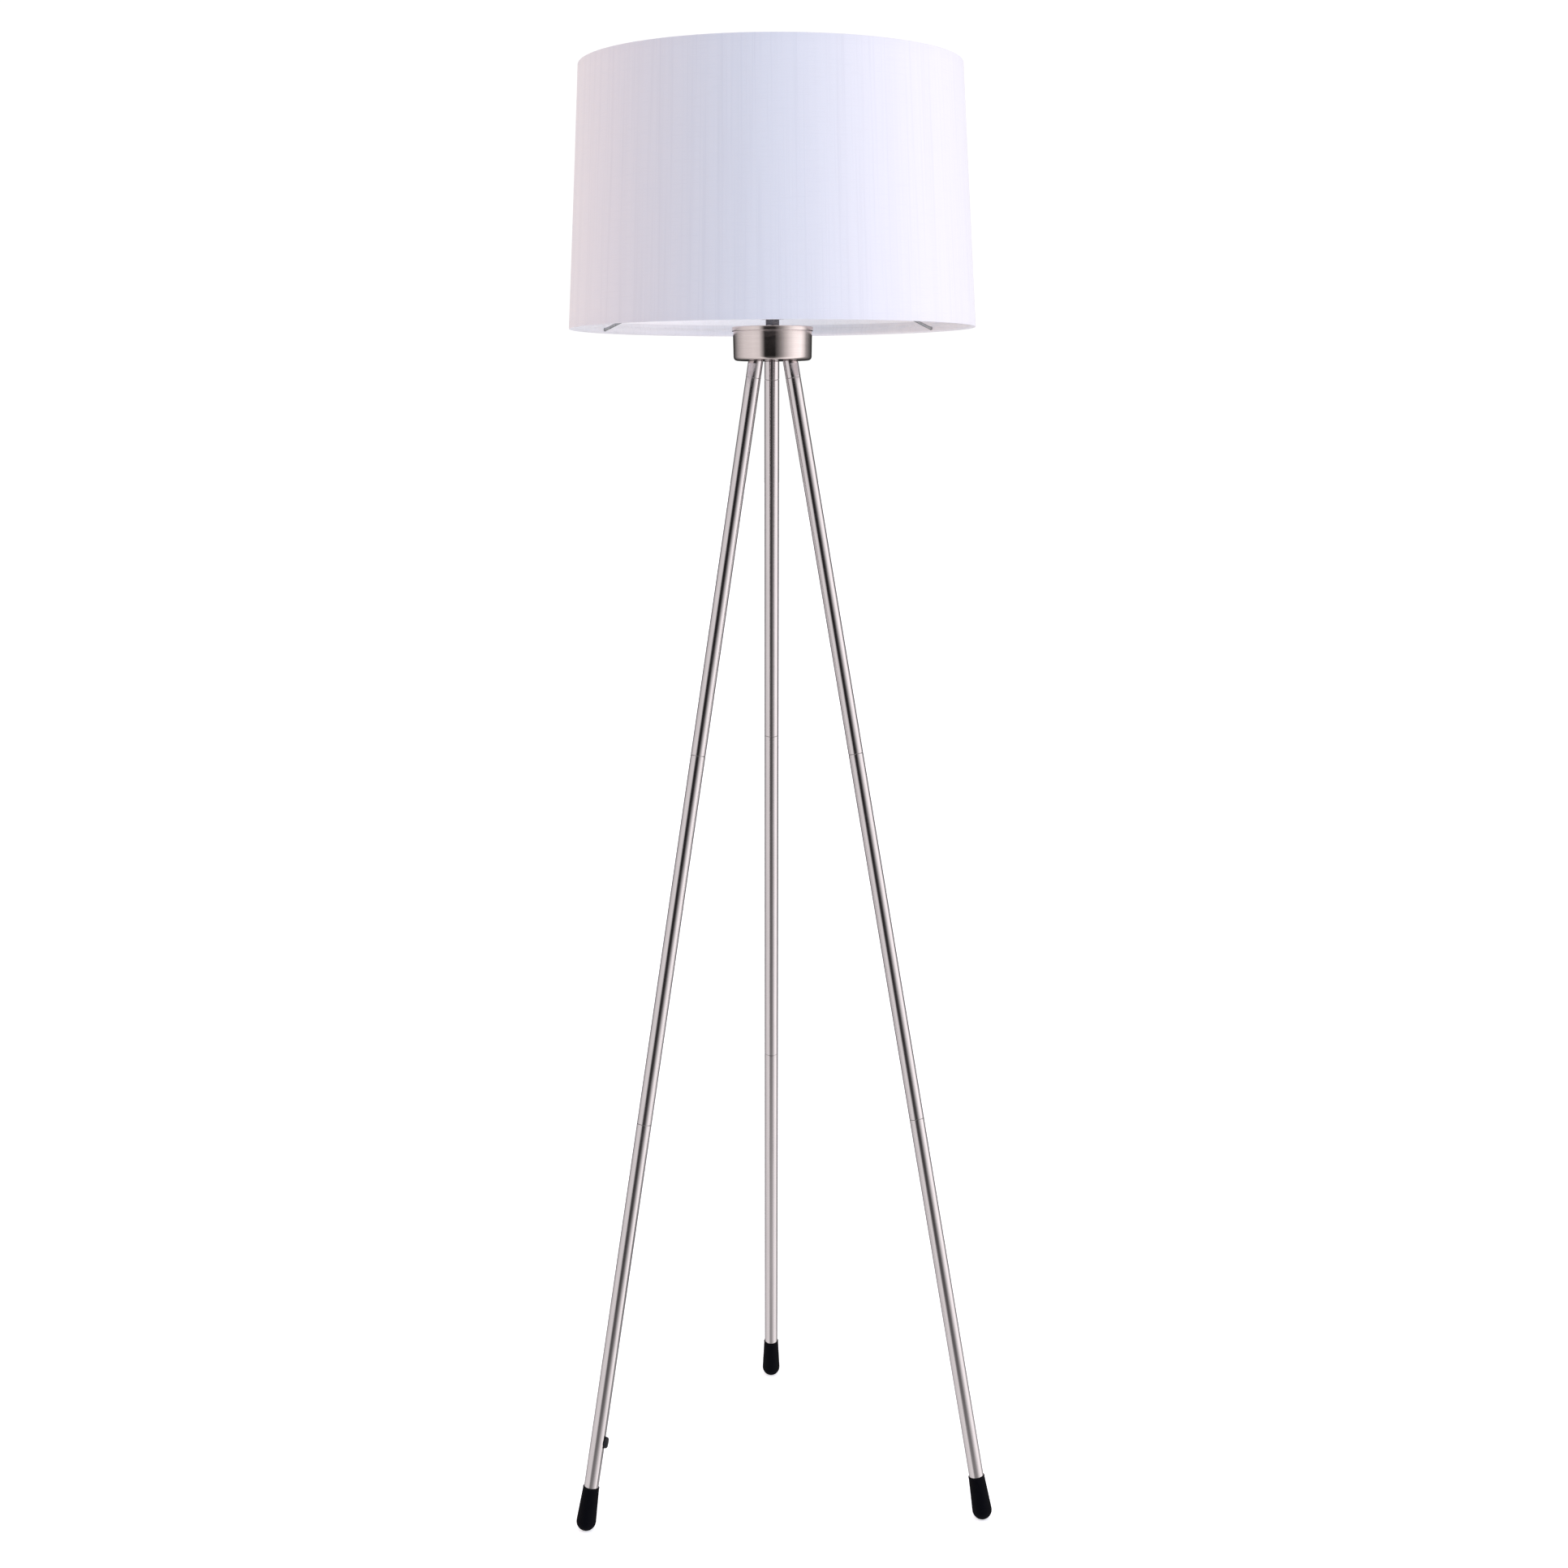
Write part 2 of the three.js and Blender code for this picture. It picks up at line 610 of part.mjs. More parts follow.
// Pear-shaped globe, open at its neck: a round head that eases down into a straight neck.
function globeProfile(inset) {
  const neckR = BULB_NECK_R - inset;
  const headR = BULB_GLOBE_R - inset;
  const headZ = BULB_GLOBE_HEIGHT - BULB_GLOBE_R;
  const points = [[neckR, 0], [neckR, BULB_NECK_HEIGHT]];
  for (let i = 1; i <= 4; i += 1) {
    const t = i / 4;
    const ease = t * t * (3 - 2 * t);
    const shoulderZ = headZ - headR * Math.sin(Math.PI / 6);
    const shoulderR = headR * Math.cos(Math.PI / 6);
    const z = BULB_NECK_HEIGHT + (shoulderZ - BULB_NECK_HEIGHT) * t;
    points.push([neckR + (shoulderR - neckR) * ease, z]);
  }
  const head = arc(0, headZ, headR, -30, 90, 7).slice(1, -1);
  return [...points, ...head, [0, headZ + headR]];
}

function globeGeometry() {
  const outside = globeProfile(0);
  const inside = globeProfile(BULB_WALL).reverse();
  return turned([...inside, ...outside], TUBE_SEGMENTS).translate(0, 0, BULB_CAP_Z + BULB_CAP_HEIGHT + GAP);
}

// Round knob with finger flutes, on the end of the switch's stem.
function knobGeometry() {
  const disc = flutedDisc(KNOB_R, KNOB_FLUTE, KNOB_FLUTES, KNOB_LENGTH).translate(0, 0, KNOB_START);
  const knob = solid(disc);
  const hole = solid(rod(STEM_R + GAP, KNOB_START - 1, STEM_REACH + 2, TUBE_SEGMENTS));
  const turnedKnob = shell(knob.subtract(hole)).rotateY(Math.PI / 2);
  return turnedKnob.rotateZ(THREE.MathUtils.degToRad(SWITCH_AZIMUTH)).translate(0, 0, SWITCH_Z);
}

function lampholder() {
  const group = new THREE.Group();
  const clampZ = FITTER_Z + FITTER_THICKNESS + GAP;
  const clampFlute = 0.8;
  const clampFlutes = 24;
  const clampRing = flutedDisc(CLAMP_RING_R, clampFlute, clampFlutes, CLAMP_RING_HEIGHT, NECK_R + GAP);
  const disc = rod(INSERT_R, BODY_Z + TERMINAL_BOTTOM, BODY_Z + TERMINAL_TOP, TUBE_SEGMENTS);
  group.add(part('lampholder_cap', capGeometry(), brightSteel()));
  group.add(part('lampholder_body', bodyGeometry(), blackPlastic()));
  group.add(part('switch_block', switchBlockGeometry(), whitePlastic()));
  group.add(part('terminal_disc', disc, whitePlastic()));
  group.add(part('centre_contact', contactGeometry(), yellowBrass()));
  group.add(part('screw_shell', screwShellGeometry(), yellowBrass()));
  group.add(part('shade_clamp_ring', clampRing.translate(0, 0, clampZ), blackPlastic()));
  group.add(part('switch_stem', switchBar(STEM_R, 5, STEM_REACH), yellowBrass()));
  group.add(part('switch_knob', knobGeometry(), blackPlastic()));
  group.add(part('bulb_cap', bulbCapGeometry(), brightSteel()));
  group.add(part('bulb_globe', globeGeometry(), opalGlass()));
  return group;
}

// ---- Shade ----

// Outer radius of the shade at a height above its lower edge.
function shadeRadius(height) {
  return SHADE_BOTTOM_R + ((SHADE_TOP_R - SHADE_BOTTOM_R) * height) / SHADE_HEIGHT;
}

function drumGeometry() {
  const profile = [
    [SHADE_BOTTOM_R - SHADE_WALL, 0],
    [SHADE_BOTTOM_R, 0],
    [SHADE_TOP_R, SHADE_HEIGHT],
    [SHADE_TOP_R - SHADE_WALL, SHADE_HEIGHT],
  ];
  return turnedRing(profile, SHADE_SEGMENTS).translate(0, 0, SHADE_BOTTOM_Z);
}

// Radius of the centre line of a frame wire glued inside the shade at a height.
function wireRadius(height) {
  return shadeRadius(height) - SHADE_WALL - RING_GLUE_GAP - WIRE_R;
}

function wireRingGeometry(height) {
  const section = arc(wireRadius(height), 0, WIRE_R, -90, 270, WIRE_SIDES).slice(0, -1);
  return turnedRing(section, SHADE_SEGMENTS).translate(0, 0, SHADE_BOTTOM_Z + height);
}

// Spider arm: a wire that leaves the lower ring, climbs in a straight line and levels at the fitter.
function armGeometry(azimuth) {
  const ringEnd = wireRadius(RING_INSET) - WIRE_R - RING_GLUE_GAP;
  const ringZ = SHADE_BOTTOM_Z + RING_INSET;
  const fitterZ = FITTER_Z + FITTER_THICKNESS / 2;
  const points = [
    [ringEnd, ringZ],
    [ringEnd - ARM_FOOT_RUN, ringZ + ARM_FOOT_RISE],
    [ARM_BEND_R, fitterZ - ARM_BEND_DROP],
    [ARM_LEVEL_R, fitterZ - ARM_LEVEL_DROP],
    [FITTER_OUTER_R + RING_GLUE_GAP, fitterZ],
  ];
  const path = new THREE.CurvePath();
  const places = points.map(([r, z]) => new THREE.Vector3(r, 0, z));
  for (let i = 1; i < places.length; i += 1) {
    path.add(new THREE.LineCurve3(places[i - 1], places[i]));
  }
  const steps = 24;
  const section = new THREE.Shape().absarc(0, 0, ARM_R, 0, Math.PI * 2, false);
  const curveSegments = WIRE_SIDES / 2;
  const wire = new THREE.ExtrudeGeometry(section, { steps, extrudePath: path, curveSegments });
  return wire.rotateZ(THREE.MathUtils.degToRad(azimuth));
}

function shade() {
  const group = new THREE.Group();
  const fitter = pipe(FITTER_BORE_R, FITTER_OUTER_R, FITTER_Z, FITTER_Z + FITTER_THICKNESS, HUB_SEGMENTS);
  group.add(part('shade_drum', drumGeometry(), whiteCloth()));
  group.add(part('shade_top_ring', wireRingGeometry(SHADE_HEIGHT - RING_INSET), zincWire()));
  group.add(part('shade_bottom_ring', wireRingGeometry(RING_INSET), zincWire()));
  group.add(part('fitter_ring', fitter, zincWire()));
  ARM_AZIMUTHS.forEach((azimuth, index) => {
    group.add(part(`spider_arm_${index + 1}`, armGeometry(azimuth), zincWire()));
  });
  return group;
}

// ---- The whole lamp ----

const lamp = new THREE.Group();
lamp.position.y = AXIS_Y;
for (const [name, azimuth] of Object.entries(LEGS)) {
  lamp.add(leg(name, azimuth));
}
lamp.add(hub());
lamp.add(lampholder());
lamp.add(shade());

export default lamp;
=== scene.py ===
# Tripod floor lamp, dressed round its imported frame: metres, +Z up, in the frame's own coordinates.
# The sections follow the lamp as it is put together, from the floor up.

import math
import bpy
import numpy as np
from mathutils import Matrix, Vector


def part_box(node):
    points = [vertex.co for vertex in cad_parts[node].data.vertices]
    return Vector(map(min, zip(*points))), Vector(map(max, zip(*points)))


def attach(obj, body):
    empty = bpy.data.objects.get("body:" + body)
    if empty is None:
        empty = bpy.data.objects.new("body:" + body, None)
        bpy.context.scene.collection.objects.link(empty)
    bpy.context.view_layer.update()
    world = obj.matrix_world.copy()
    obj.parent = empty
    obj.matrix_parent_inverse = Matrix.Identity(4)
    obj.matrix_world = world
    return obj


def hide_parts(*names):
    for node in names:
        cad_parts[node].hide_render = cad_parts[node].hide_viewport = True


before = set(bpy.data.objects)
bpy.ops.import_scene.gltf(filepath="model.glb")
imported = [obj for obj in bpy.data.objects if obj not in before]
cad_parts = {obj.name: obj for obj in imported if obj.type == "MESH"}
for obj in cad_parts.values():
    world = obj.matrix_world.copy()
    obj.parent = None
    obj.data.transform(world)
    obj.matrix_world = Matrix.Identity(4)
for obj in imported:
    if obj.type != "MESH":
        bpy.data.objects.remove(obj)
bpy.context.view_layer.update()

# ---- Studio ----
# The lamp stands alone on a pale floor that runs out of sight. The camera stands at chest height and looks
# slightly down. Two broad soft boxes light the lamp, the right one stronger, with a darker gap between them.

EYE = (-0.0960, -2.3494, 1.1995)
HEADING = 0.0453
TILT = -0.1676
ROLL = -0.0059
FOCAL_LENGTH = 49.36
SENSOR_WIDTH = 36.0

# What the polished pieces mirror, round the lamp: degrees from the camera's side, positive to the right, and
# the brightness there. Two soft boxes stand either side of a dark gap, and the room behind the lamp is dim.
MIRRORED = (
    (-180, 0.02),
    (-158, 0.04),
    (-140, 0.24),
    (-118, 0.64),
    (-95, 0.92),
    (-60, 1.04),
    (-42, 0.96),
    (-34, 0.50),
    (-25, 0.02),
    (4, 0.02),
    (13, 0.16),
    (24, 0.38),
    (35, 0.70),
    (48, 1.08),
    (66, 1.50),
    (88, 1.66),
    (100, 1.22),
    (113, 0.50),
    (127, 0.24),
    (150, 0.05),
    (180, 0.02),
)
# The soft light on the matt pieces, in the same degrees: a rosy box on the left, a bluish shadow between the
# boxes, and a larger, whiter box on the right.
SOFT_LIGHT = (
    (-180, (0.70, 0.70, 0.75)),
    (-130, (0.75, 0.80, 0.80)),
    (-105, (1.85, 1.40, 1.30)),
    (-88, (1.80, 1.25, 0.95)),
    (-62, (0.25, 0.45, 0.60)),
    (-42, (0.15, 0.40, 0.80)),
    (-25, (0.60, 0.60, 0.80)),
    (5, (0.85, 0.65, 0.60)),
    (28, (0.90, 1.05, 1.15)),
    (50, (1.50, 1.65, 2.10)),
    (75, (1.90, 1.70, 1.90)),
    (95, (1.10, 0.90, 0.80)),
    (110, (0.55, 0.55, 0.55)),
    (180, (0.70, 0.70, 0.75)),
)
FLOOR_SHINE = 0.52
FLOOR_SHINE_REACH = 0.45
FLOOR_SHINE_FALL = 1.3
FLOOR_SIZE = 80.0
FLOOR_COLOUR = (0.93, 0.93, 0.93, 1.0)
FLOOR_GLOW = 0.55


def connect(tree, socket, value):
    """Gives a socket its value: another node's output is linked to it, and anything else is set on it."""
    if isinstance(value, bpy.types.NodeSocket):
        tree.links.new(value, socket)
    else:
        socket.default_value = value


def add(tree, kind, inputs=(), **options):
    """One shader node: `inputs` maps its sockets' names or numbers to values or to other nodes' outputs."""
    made = tree.nodes.new("ShaderNode" + kind)
    for option, value in options.items():
        setattr(made, option, value)
    for label, value in dict(inputs).items():
        connect(tree, made.inputs[label], value)
    return made


def math_node(tree, operation, first, second=0.0):
    """One sum, product or function of two values."""
    return add(tree, "Math", {0: first, 1: second}, operation=operation).outputs[0]


def times_plus(tree, first, second, third):
    """first * second + third."""
    return add(tree, "Math", {0: first, 1: second, 2: third}, operation="MULTIPLY_ADD").outputs[0]


def place_camera():
    """The camera's axes from its heading to the right of +Y, its tilt above level and its roll."""
    level = math.cos(TILT)
    forward = Vector((math.sin(HEADING) * level, math.cos(HEADING) * level, math.sin(TILT)))
    side = Vector((math.cos(HEADING), -math.sin(HEADING), 0.0))
    top = side.cross(forward)
    right = side * math.cos(ROLL) + top * math.sin(ROLL)
    up = top * math.cos(ROLL) - side * math.sin(ROLL)
    turn = Matrix((right, up, -forward)).transposed().to_4x4()
    lens = bpy.data.cameras.new("camera")
    lens.lens = FOCAL_LENGTH
    lens.sensor_width = SENSOR_WIDTH
    lens.clip_end = 200.0
    camera = bpy.data.objects.new("camera", lens)
    camera.matrix_world = Matrix.Translation(EYE) @ turn
    bpy.context.scene.collection.objects.link(camera)
    bpy.context.scene.camera = camera


def ring_of_light(tree, share, stops):
    """Colour as a function of the angle round the lamp, from (share of the circle, colour) stops."""
    ramp = add(tree, "ValToRGB", {"Fac": share})
    held = ramp.color_ramp.elements
    while len(held) < len(stops):
        held.new(0.5)
    for stop, (position, colour) in zip(held, stops):
        stop.position = position
        stop.color = (*colour, 1.0)
    return ramp.outputs["Color"]


def light_studio():
    """A world whose brightness follows the direction round the lamp: one pattern for mirrored light, a softer
    one for matt pieces, and plain white where the camera sees it."""
    world = bpy.data.worlds.new("studio")
    world.use_nodes = True
    tree = world.node_tree
    tree.nodes.clear()
    direction = add(tree, "TexCoord").outputs["Generated"]
    axes = add(tree, "SeparateXYZ", {0: direction})
    back = math_node(tree, "MULTIPLY", axes.outputs["Y"], -1.0)
    around = math_node(tree, "ARCTAN2", axes.outputs["X"], back)
    share = times_plus(tree, around, 1 / (2 * math.pi), 0.5)
    mirrored = ring_of_light(tree, share, [(d / 360 + 0.5, (v, v, v)) for d, v in MIRRORED])
    soft = ring_of_light(tree, share, [(d / 360 + 0.5, colour) for d, colour in SOFT_LIGHT])
    path = add(tree, "LightPath").outputs
    glossy = add(tree, "Background", {"Color": mirrored})
    matt = add(tree, "Background", {"Color": soft})
    paper = add(tree, "Background", {"Color": (1.0, 1.0, 1.0, 1.0), "Strength": 1.05})
    lit = add(tree, "MixShader", {0: path["Is Glossy Ray"], 1: matt.outputs[0], 2: glossy.outputs[0]})
    seen = add(tree, "MixShader", {0: path["Is Camera Ray"], 1: lit.outputs[0], 2: paper.outputs[0]})
    add(tree, "OutputWorld", {"Surface": seen.outputs[0]})
    bpy.context.scene.world = world
    bpy.context.scene.view_settings.view_transform = "Standard"


def lay_floor():
    """A wide plain sheet at z = 0, pale and slightly glowing, so that it runs into the white behind it. In
    polished pieces it is a soft patch of light under the lamp, worth 1 / (1 + (distance / reach) ** fall)."""
    half = FLOOR_SIZE / 2
    corners = [(-half, -half, 0), (half, -half, 0), (half, half, 0), (-half, half, 0)]
    mesh = bpy.data.meshes.new("floor")
    mesh.from_pydata(corners, [], [(0, 1, 2, 3)])
    paint = bpy.data.materials.new("pale_floor")
    paint.use_nodes = True
    shader = paint.node_tree.nodes["Principled BSDF"]
    shader.inputs["Base Color"].default_value = FLOOR_COLOUR
    shader.inputs["Roughness"].default_value = 0.9
    shader.inputs["Specular IOR Level"].default_value = 0.2
    shader.inputs["Emission Color"].default_value = (1.0, 1.0, 1.0, 1.0)
    shader.inputs["Emission Strength"].default_value = FLOOR_GLOW
    tree = paint.node_tree
    place = add(tree, "TexCoord").outputs["Object"]
    distance = add(tree, "VectorMath", {0: place}, operation="LENGTH").outputs["Value"]
    fall = math_node(tree, "POWER", math_node(tree, "DIVIDE", distance, FLOOR_SHINE_REACH), FLOOR_SHINE_FALL)
    patch = math_node(tree, "DIVIDE", FLOOR_SHINE, math_node(tree, "ADD", fall, 1.0))
    clear = add(tree, "BsdfTransparent").outputs[0]
    shine = add(tree, "Emission").outputs[0]
    mirrored = add(tree, "MixShader", {0: patch, 1: clear, 2: shine}).outputs[0]
    path = add(tree, "LightPath").outputs
    seen = add(tree, "MixShader", {0: path["Is Glossy Ray"], 1: shader.outputs[0], 2: mirrored})
    connect(tree, tree.nodes["Material Output"].inputs["Surface"], seen.outputs[0])
    mesh.materials.append(paint)
    floor = bpy.data.objects.new("floor", mesh)
    floor.visible_diffuse = False
    bpy.context.scene.collection.objects.link(floor)


place_camera()
light_studio()
lay_floor()

# ---- Rubber feet ----
# A moulded black rubber boot is pushed over the end of each leg: a round nose worn level where it stands,
# a slightly tapered sleeve and a soft lip. It is matt, with fine moulding grain and pale dust at its foot.

FOOT_RADIUS = 0.0108
FOOT_TOP_RADIUS = 0.0089
FOOT_LIP = 0.0011
FOOT_TOP = 0.039
FOOT_HOLE_RADIUS = 0.0083
FOOT_SOLE = 0.0015
FOOT_WORN_RADIUS = 0.0035
FOOT_COLUMNS = 96
SHARP_ANGLE = math.radians(42)
RUBBER_BLACK = (0.0015, 0.0015, 0.0030, 1.0)
RUBBER_GREY = (0.0035, 0.0035, 0.0055, 1.0)
DUST_COLOUR = (0.42, 0.40, 0.38, 1.0)


def rounded(corners, steps=5, closed=True):
    """Profile points through corners (radius, height, fillet). Each fillet is a quadratic arc that starts and
    ends its own length back along the two sides, with a point just outside it so that the sides stay flat.
    Returns the points, and how far each is into a rounded edge, from 0 to 1."""
    corners = np.array([c if len(c) == 3 else (*c, 0.0) for c in corners], float)
    points, edges = [], []
    turn = np.linspace(0, 1, steps + 1)[:, None]
    for i, (here, fillet) in enumerate(zip(corners[:, :2], corners[:, 2])):
        last = i in (0, len(corners) - 1) and not closed
        if fillet == 0 or last:
            points.append(here[None])
            edges.append([0.0])
            continue
        before = corners[i - 1, :2] - here
        after = corners[(i + 1) % len(corners), :2] - here
        room = min(np.linalg.norm(before), np.linalg.norm(after))
        reach = min(fillet, 0.42 * room)
        before, after = before / np.linalg.norm(before), after / np.linalg.norm(after)
        start, end = here + before * reach, here + after * reach
        arc = (1 - turn) ** 2 * start + 2 * turn * (1 - turn) * here + turn**2 * end
        guard = min(1.25 * reach, 0.48 * room)
        points.append(np.vstack([here + before * guard, arc, here + after * guard]))
        edges.append(np.concatenate([[0.0], np.sin(np.pi * turn[:, 0]), [0.0]]))
    return np.vstack(points), np.concatenate(edges)


def circle_arc(centre, radius, first, last, steps):
    """Points (radius, height) on an arc round a centre, between two angles in degrees."""
    angle = np.radians(np.linspace(first, last, steps))
    return np.stack([centre[0] + radius * np.cos(angle), centre[1] + radius * np.sin(angle)], 1)


def even_angles(columns):
    """Angles of evenly spaced columns, once round."""
    return np.linspace(0, 2 * np.pi, columns, endpoint=False)


def swept(radius, height, angle):
    """Radius r and height z at angle a make the point (r cos a, r sin a, z)."""
    return np.stack([radius * np.cos(angle), radius * np.sin(angle), height + 0 * angle], axis=2)


def turned(profile, columns):
    """A lathe surface: every profile point (radius, height) carried round the axis."""
    return swept(profile[:, :1], profile[:, 1:], even_angles(columns))


def grain_along(points):
    """Place in a finish brushed along a piece: quick across it, fifty times slower up it."""
    return points * np.array([1.0, 1.0, 0.02])


def grain_around(points):
    """Place in a finish turned on a lathe: quick in radius and height, fifty times slower round the axis."""
    x, y, z = points[..., 0], points[..., 1], points[..., 2]
    return np.stack([np.hypot(x, y) + 0.02 * x, z + 0.02 * y, 0.02 * (x - y)], axis=-1)


def joined(points, matrix):
    """Points carried by a 4 by 4 matrix."""
    turn = np.array(matrix.to_3x3())
    return points @ turn.T + np.array(matrix.translation)


def grid_faces(rows, columns, ring):
    """Faces of a grid whose columns close on themselves. With ring its rows close too. Without it, the first
    and the last row are one point each, and fans of triangles close them."""
    j = np.arange(columns)
    k = (j + 1) % columns
    if ring:
        i = np.arange(rows)[:, None]
        n = (i + 1) % rows
        quads = np.stack([i * columns + j, i * columns + k, n * columns + k, n * columns + j], 2)
        return quads.reshape(-1, 4).tolist()
    i = np.arange(rows - 3)[:, None]
    quads = np.stack([i * columns + j, i * columns + k, (i + 1) * columns + k, (i + 1) * columns + j], 2)
    first, last = (rows - 2) * columns, (rows - 2) * columns + 1
    end = (rows - 3) * columns
    low = np.stack([0 * j + first, k, j], 1)
    high = np.stack([end + j, end + k, 0 * j + last], 1)
    return quads.reshape(-1, 4).tolist() + low.tolist() + high.tolist()


def make_piece(name, shells, matrix=Matrix.Identity(4), grain=grain_along, shape=None):
    """A mesh object from closed shells (grid of points, edge value of each row, ring or not) in the piece's
    own frame, placed by a matrix. Its attributes "grain" and "edge" steer the finish."""
    places, grains, edges, faces, count = [], [], [], [], 0
    for points, edge, ring in shells:
        rows, columns = points.shape[:2]
        faces += [[count + v for v in face] for face in grid_faces(rows, columns, ring)]
        wear = np.repeat(np.asarray(edge, float)[:, None], columns, 1)
        if ring:
            flat, marks = points.reshape(-1, 3), wear.reshape(-1)
        else:
            flat = np.vstack([points[1:-1].reshape(-1, 3), points[0, :1], points[-1, :1]])
            marks = np.concatenate([wear[1:-1].reshape(-1), [0.0, 0.0]])
        places.append(flat)
        grains.append(grain(flat))
        edges.append(marks)
        count += len(flat)
    placed = joined(np.vstack(places), matrix)
    if shape is not None:
        placed = shape(placed)
    mesh = bpy.data.meshes.new(name)
    mesh.from_pydata(placed.tolist(), [], faces)
    along = mesh.attributes.new("grain", "FLOAT_VECTOR", "POINT").data
    along.foreach_set("vector", np.vstack(grains).ravel())
    worn = mesh.attributes.new("edge", "FLOAT", "POINT").data
    worn.foreach_set("value", np.concatenate(edges))
    mesh.shade_smooth()
    mesh.set_sharp_from_angle(angle=SHARP_ANGLE)
    piece = bpy.data.objects.new(name, mesh)
    bpy.context.scene.collection.objects.link(piece)
    return piece


def lathe_piece(name, corners, columns, matrix, grain=grain_along, steps=5, closed=True):
    """A piece turned from the rounded corners of its profile."""
    profile, edges = rounded(corners, steps, closed)
    return make_piece(name, [(turned(profile, columns), edges, closed)], matrix, grain)


def fit(piece, finish, body, slot, *nodes):
    """Gives a piece its finish, rides it on its body and lets it stand for its CAD nodes, if it has any."""
    piece.data.materials.append(finish)
    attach(piece, body)
    if nodes:
        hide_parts(*nodes)


def new_group(name, inputs, outputs):
    """An empty effect: a node group with named value, colour or place inputs and outputs."""
    kinds = {"value": "NodeSocketFloat", "colour": "NodeSocketColor", "place": "NodeSocketVector"}
    tree = bpy.data.node_groups.new(name, "ShaderNodeTree")
    for label, kind in inputs:
        tree.interface.new_socket(label, in_out="INPUT", socket_type=kinds[kind])
    for label, kind in outputs:
        tree.interface.new_socket(label, in_out="OUTPUT", socket_type=kinds[kind])
    return tree, tree.nodes.new("NodeGroupInput")


def close_group(tree, results):
    """Joins a group's results to its outputs."""
    outside = tree.nodes.new("NodeGroupOutput")
    for label, value in results.items():
        connect(tree, outside.inputs[label], value)
    return tree


def stretch(tree, value, low, high, out_low=0.0, out_high=1.0):
    """A value from low to high, spread smoothly over out_low to out_high and held at its ends."""
    sockets = {"Value": value, "From Min": low, "From Max": high, "To Min": out_low, "To Max": out_high}
    return add(tree, "MapRange", sockets, interpolation_type="SMOOTHSTEP").outputs["Result"]


def blend_colour(tree, share, first, second):
    """Two colours mixed by a share from 0 to 1."""
    mixer = add(tree, "Mix", {0: share, 6: first, 7: second}, data_type="RGBA")
    return mixer.outputs[2]


def make_fine_grain():
    """Streaks or grain of a machined or moulded surface: fine noise in the piece's grain coordinates."""
    tree, given = new_group(
        "fine_grain", [("Place", "place"), ("Scale", "value")], [("Streak", "value"), ("Height", "value")]
    )
    noise = add(
        tree, "TexNoise", {"Vector": given.outputs["Place"], "Scale": given.outputs["Scale"], "Detail": 3.0}
    )
    broad = math_node(tree, "MULTIPLY", given.outputs["Scale"], 0.17)
    slow = add(tree, "TexNoise", {"Vector": given.outputs["Place"], "Scale": broad, "Detail": 2.0})
    both = times_plus(tree, noise.outputs["Fac"], 0.6, math_node(tree, "MULTIPLY", slow.outputs["Fac"], 0.4))
    return close_group(tree, {"Streak": stretch(tree, both, 0.32, 0.68), "Height": both})


def make_handling():
    """Faint smears where hands and cloths have been: soft patches broken up by finer noise."""
    tree, given = new_group(
        "handling_marks", [("Place", "place"), ("Scale", "value"), ("Amount", "value")], [("Mask", "value")]
    )
    patch = add(tree, "TexNoise", {"Vector": given.outputs["Place"], "Scale": given.outputs["Scale"]})
    finer = math_node(tree, "MULTIPLY", given.outputs["Scale"], 7.0)
    smear = add(tree, "TexNoise", {"Vector": given.outputs["Place"], "Scale": finer, "Detail": 4.0})
    soft = stretch(tree, patch.outputs["Fac"], 0.45, 0.68)
    broken = stretch(tree, smear.outputs["Fac"], 0.30, 0.62)
    mask = math_node(tree, "MULTIPLY", math_node(tree, "MULTIPLY", soft, broken), given.outputs["Amount"])
    return close_group(tree, {"Mask": mask})


def make_edge_wear():
    """Rubbed edges: the piece's own edge values, broken up by noise."""
    tree, given = new_group("edge_wear", [("Place", "place"), ("Amount", "value")], [("Mask", "value")])
    edge = add(tree, "Attribute", attribute_name="edge").outputs["Fac"]
    chips = add(tree, "TexNoise", {"Vector": given.outputs["Place"], "Scale": 420.0, "Detail": 3.0})
    kept = stretch(tree, chips.outputs["Fac"], 0.35, 0.65)
    mask = math_node(tree, "MULTIPLY", math_node(tree, "MULTIPLY", edge, kept), given.outputs["Amount"])
    return close_group(tree, {"Mask": mask})


def make_dust():
    """Settled dust: thicker on faces that look up, in a speckle of noise."""
    tree, given = new_group("settled_dust", [("Place", "place"), ("Amount", "value")], [("Mask", "value")])
    facing = add(tree, "SeparateXYZ", {0: add(tree, "NewGeometry").outputs["Normal"]}).outputs["Z"]
    level = stretch(tree, facing, 0.1, 0.95)
    specks = add(tree, "TexNoise", {"Vector": given.outputs["Place"], "Scale": 900.0, "Detail": 4.0})
    drift = add(tree, "TexNoise", {"Vector": given.outputs["Place"], "Scale": 60.0, "Detail": 2.0})
    fine = stretch(tree, specks.outputs["Fac"], 0.42, 0.72)
    wide = stretch(tree, drift.outputs["Fac"], 0.30, 0.70, 0.35, 1.0)
    mask = math_node(tree, "MULTIPLY", math_node(tree, "MULTIPLY", fine, wide), level)
    mask = math_node(tree, "MULTIPLY", mask, given.outputs["Amount"])
    return close_group(tree, {"Mask": mask})


FINE_GRAIN = make_fine_grain()
HANDLING_MARKS = make_handling()
EDGE_WEAR = make_edge_wear()
SETTLED_DUST = make_dust()


def effect(tree, group, inputs):
    """One effect placed in a material with its own values."""
    made = tree.nodes.new("ShaderNodeGroup")
    made.node_tree = group
    for label, value in inputs.items():
        connect(tree, made.inputs[label], value)
    return made.outputs


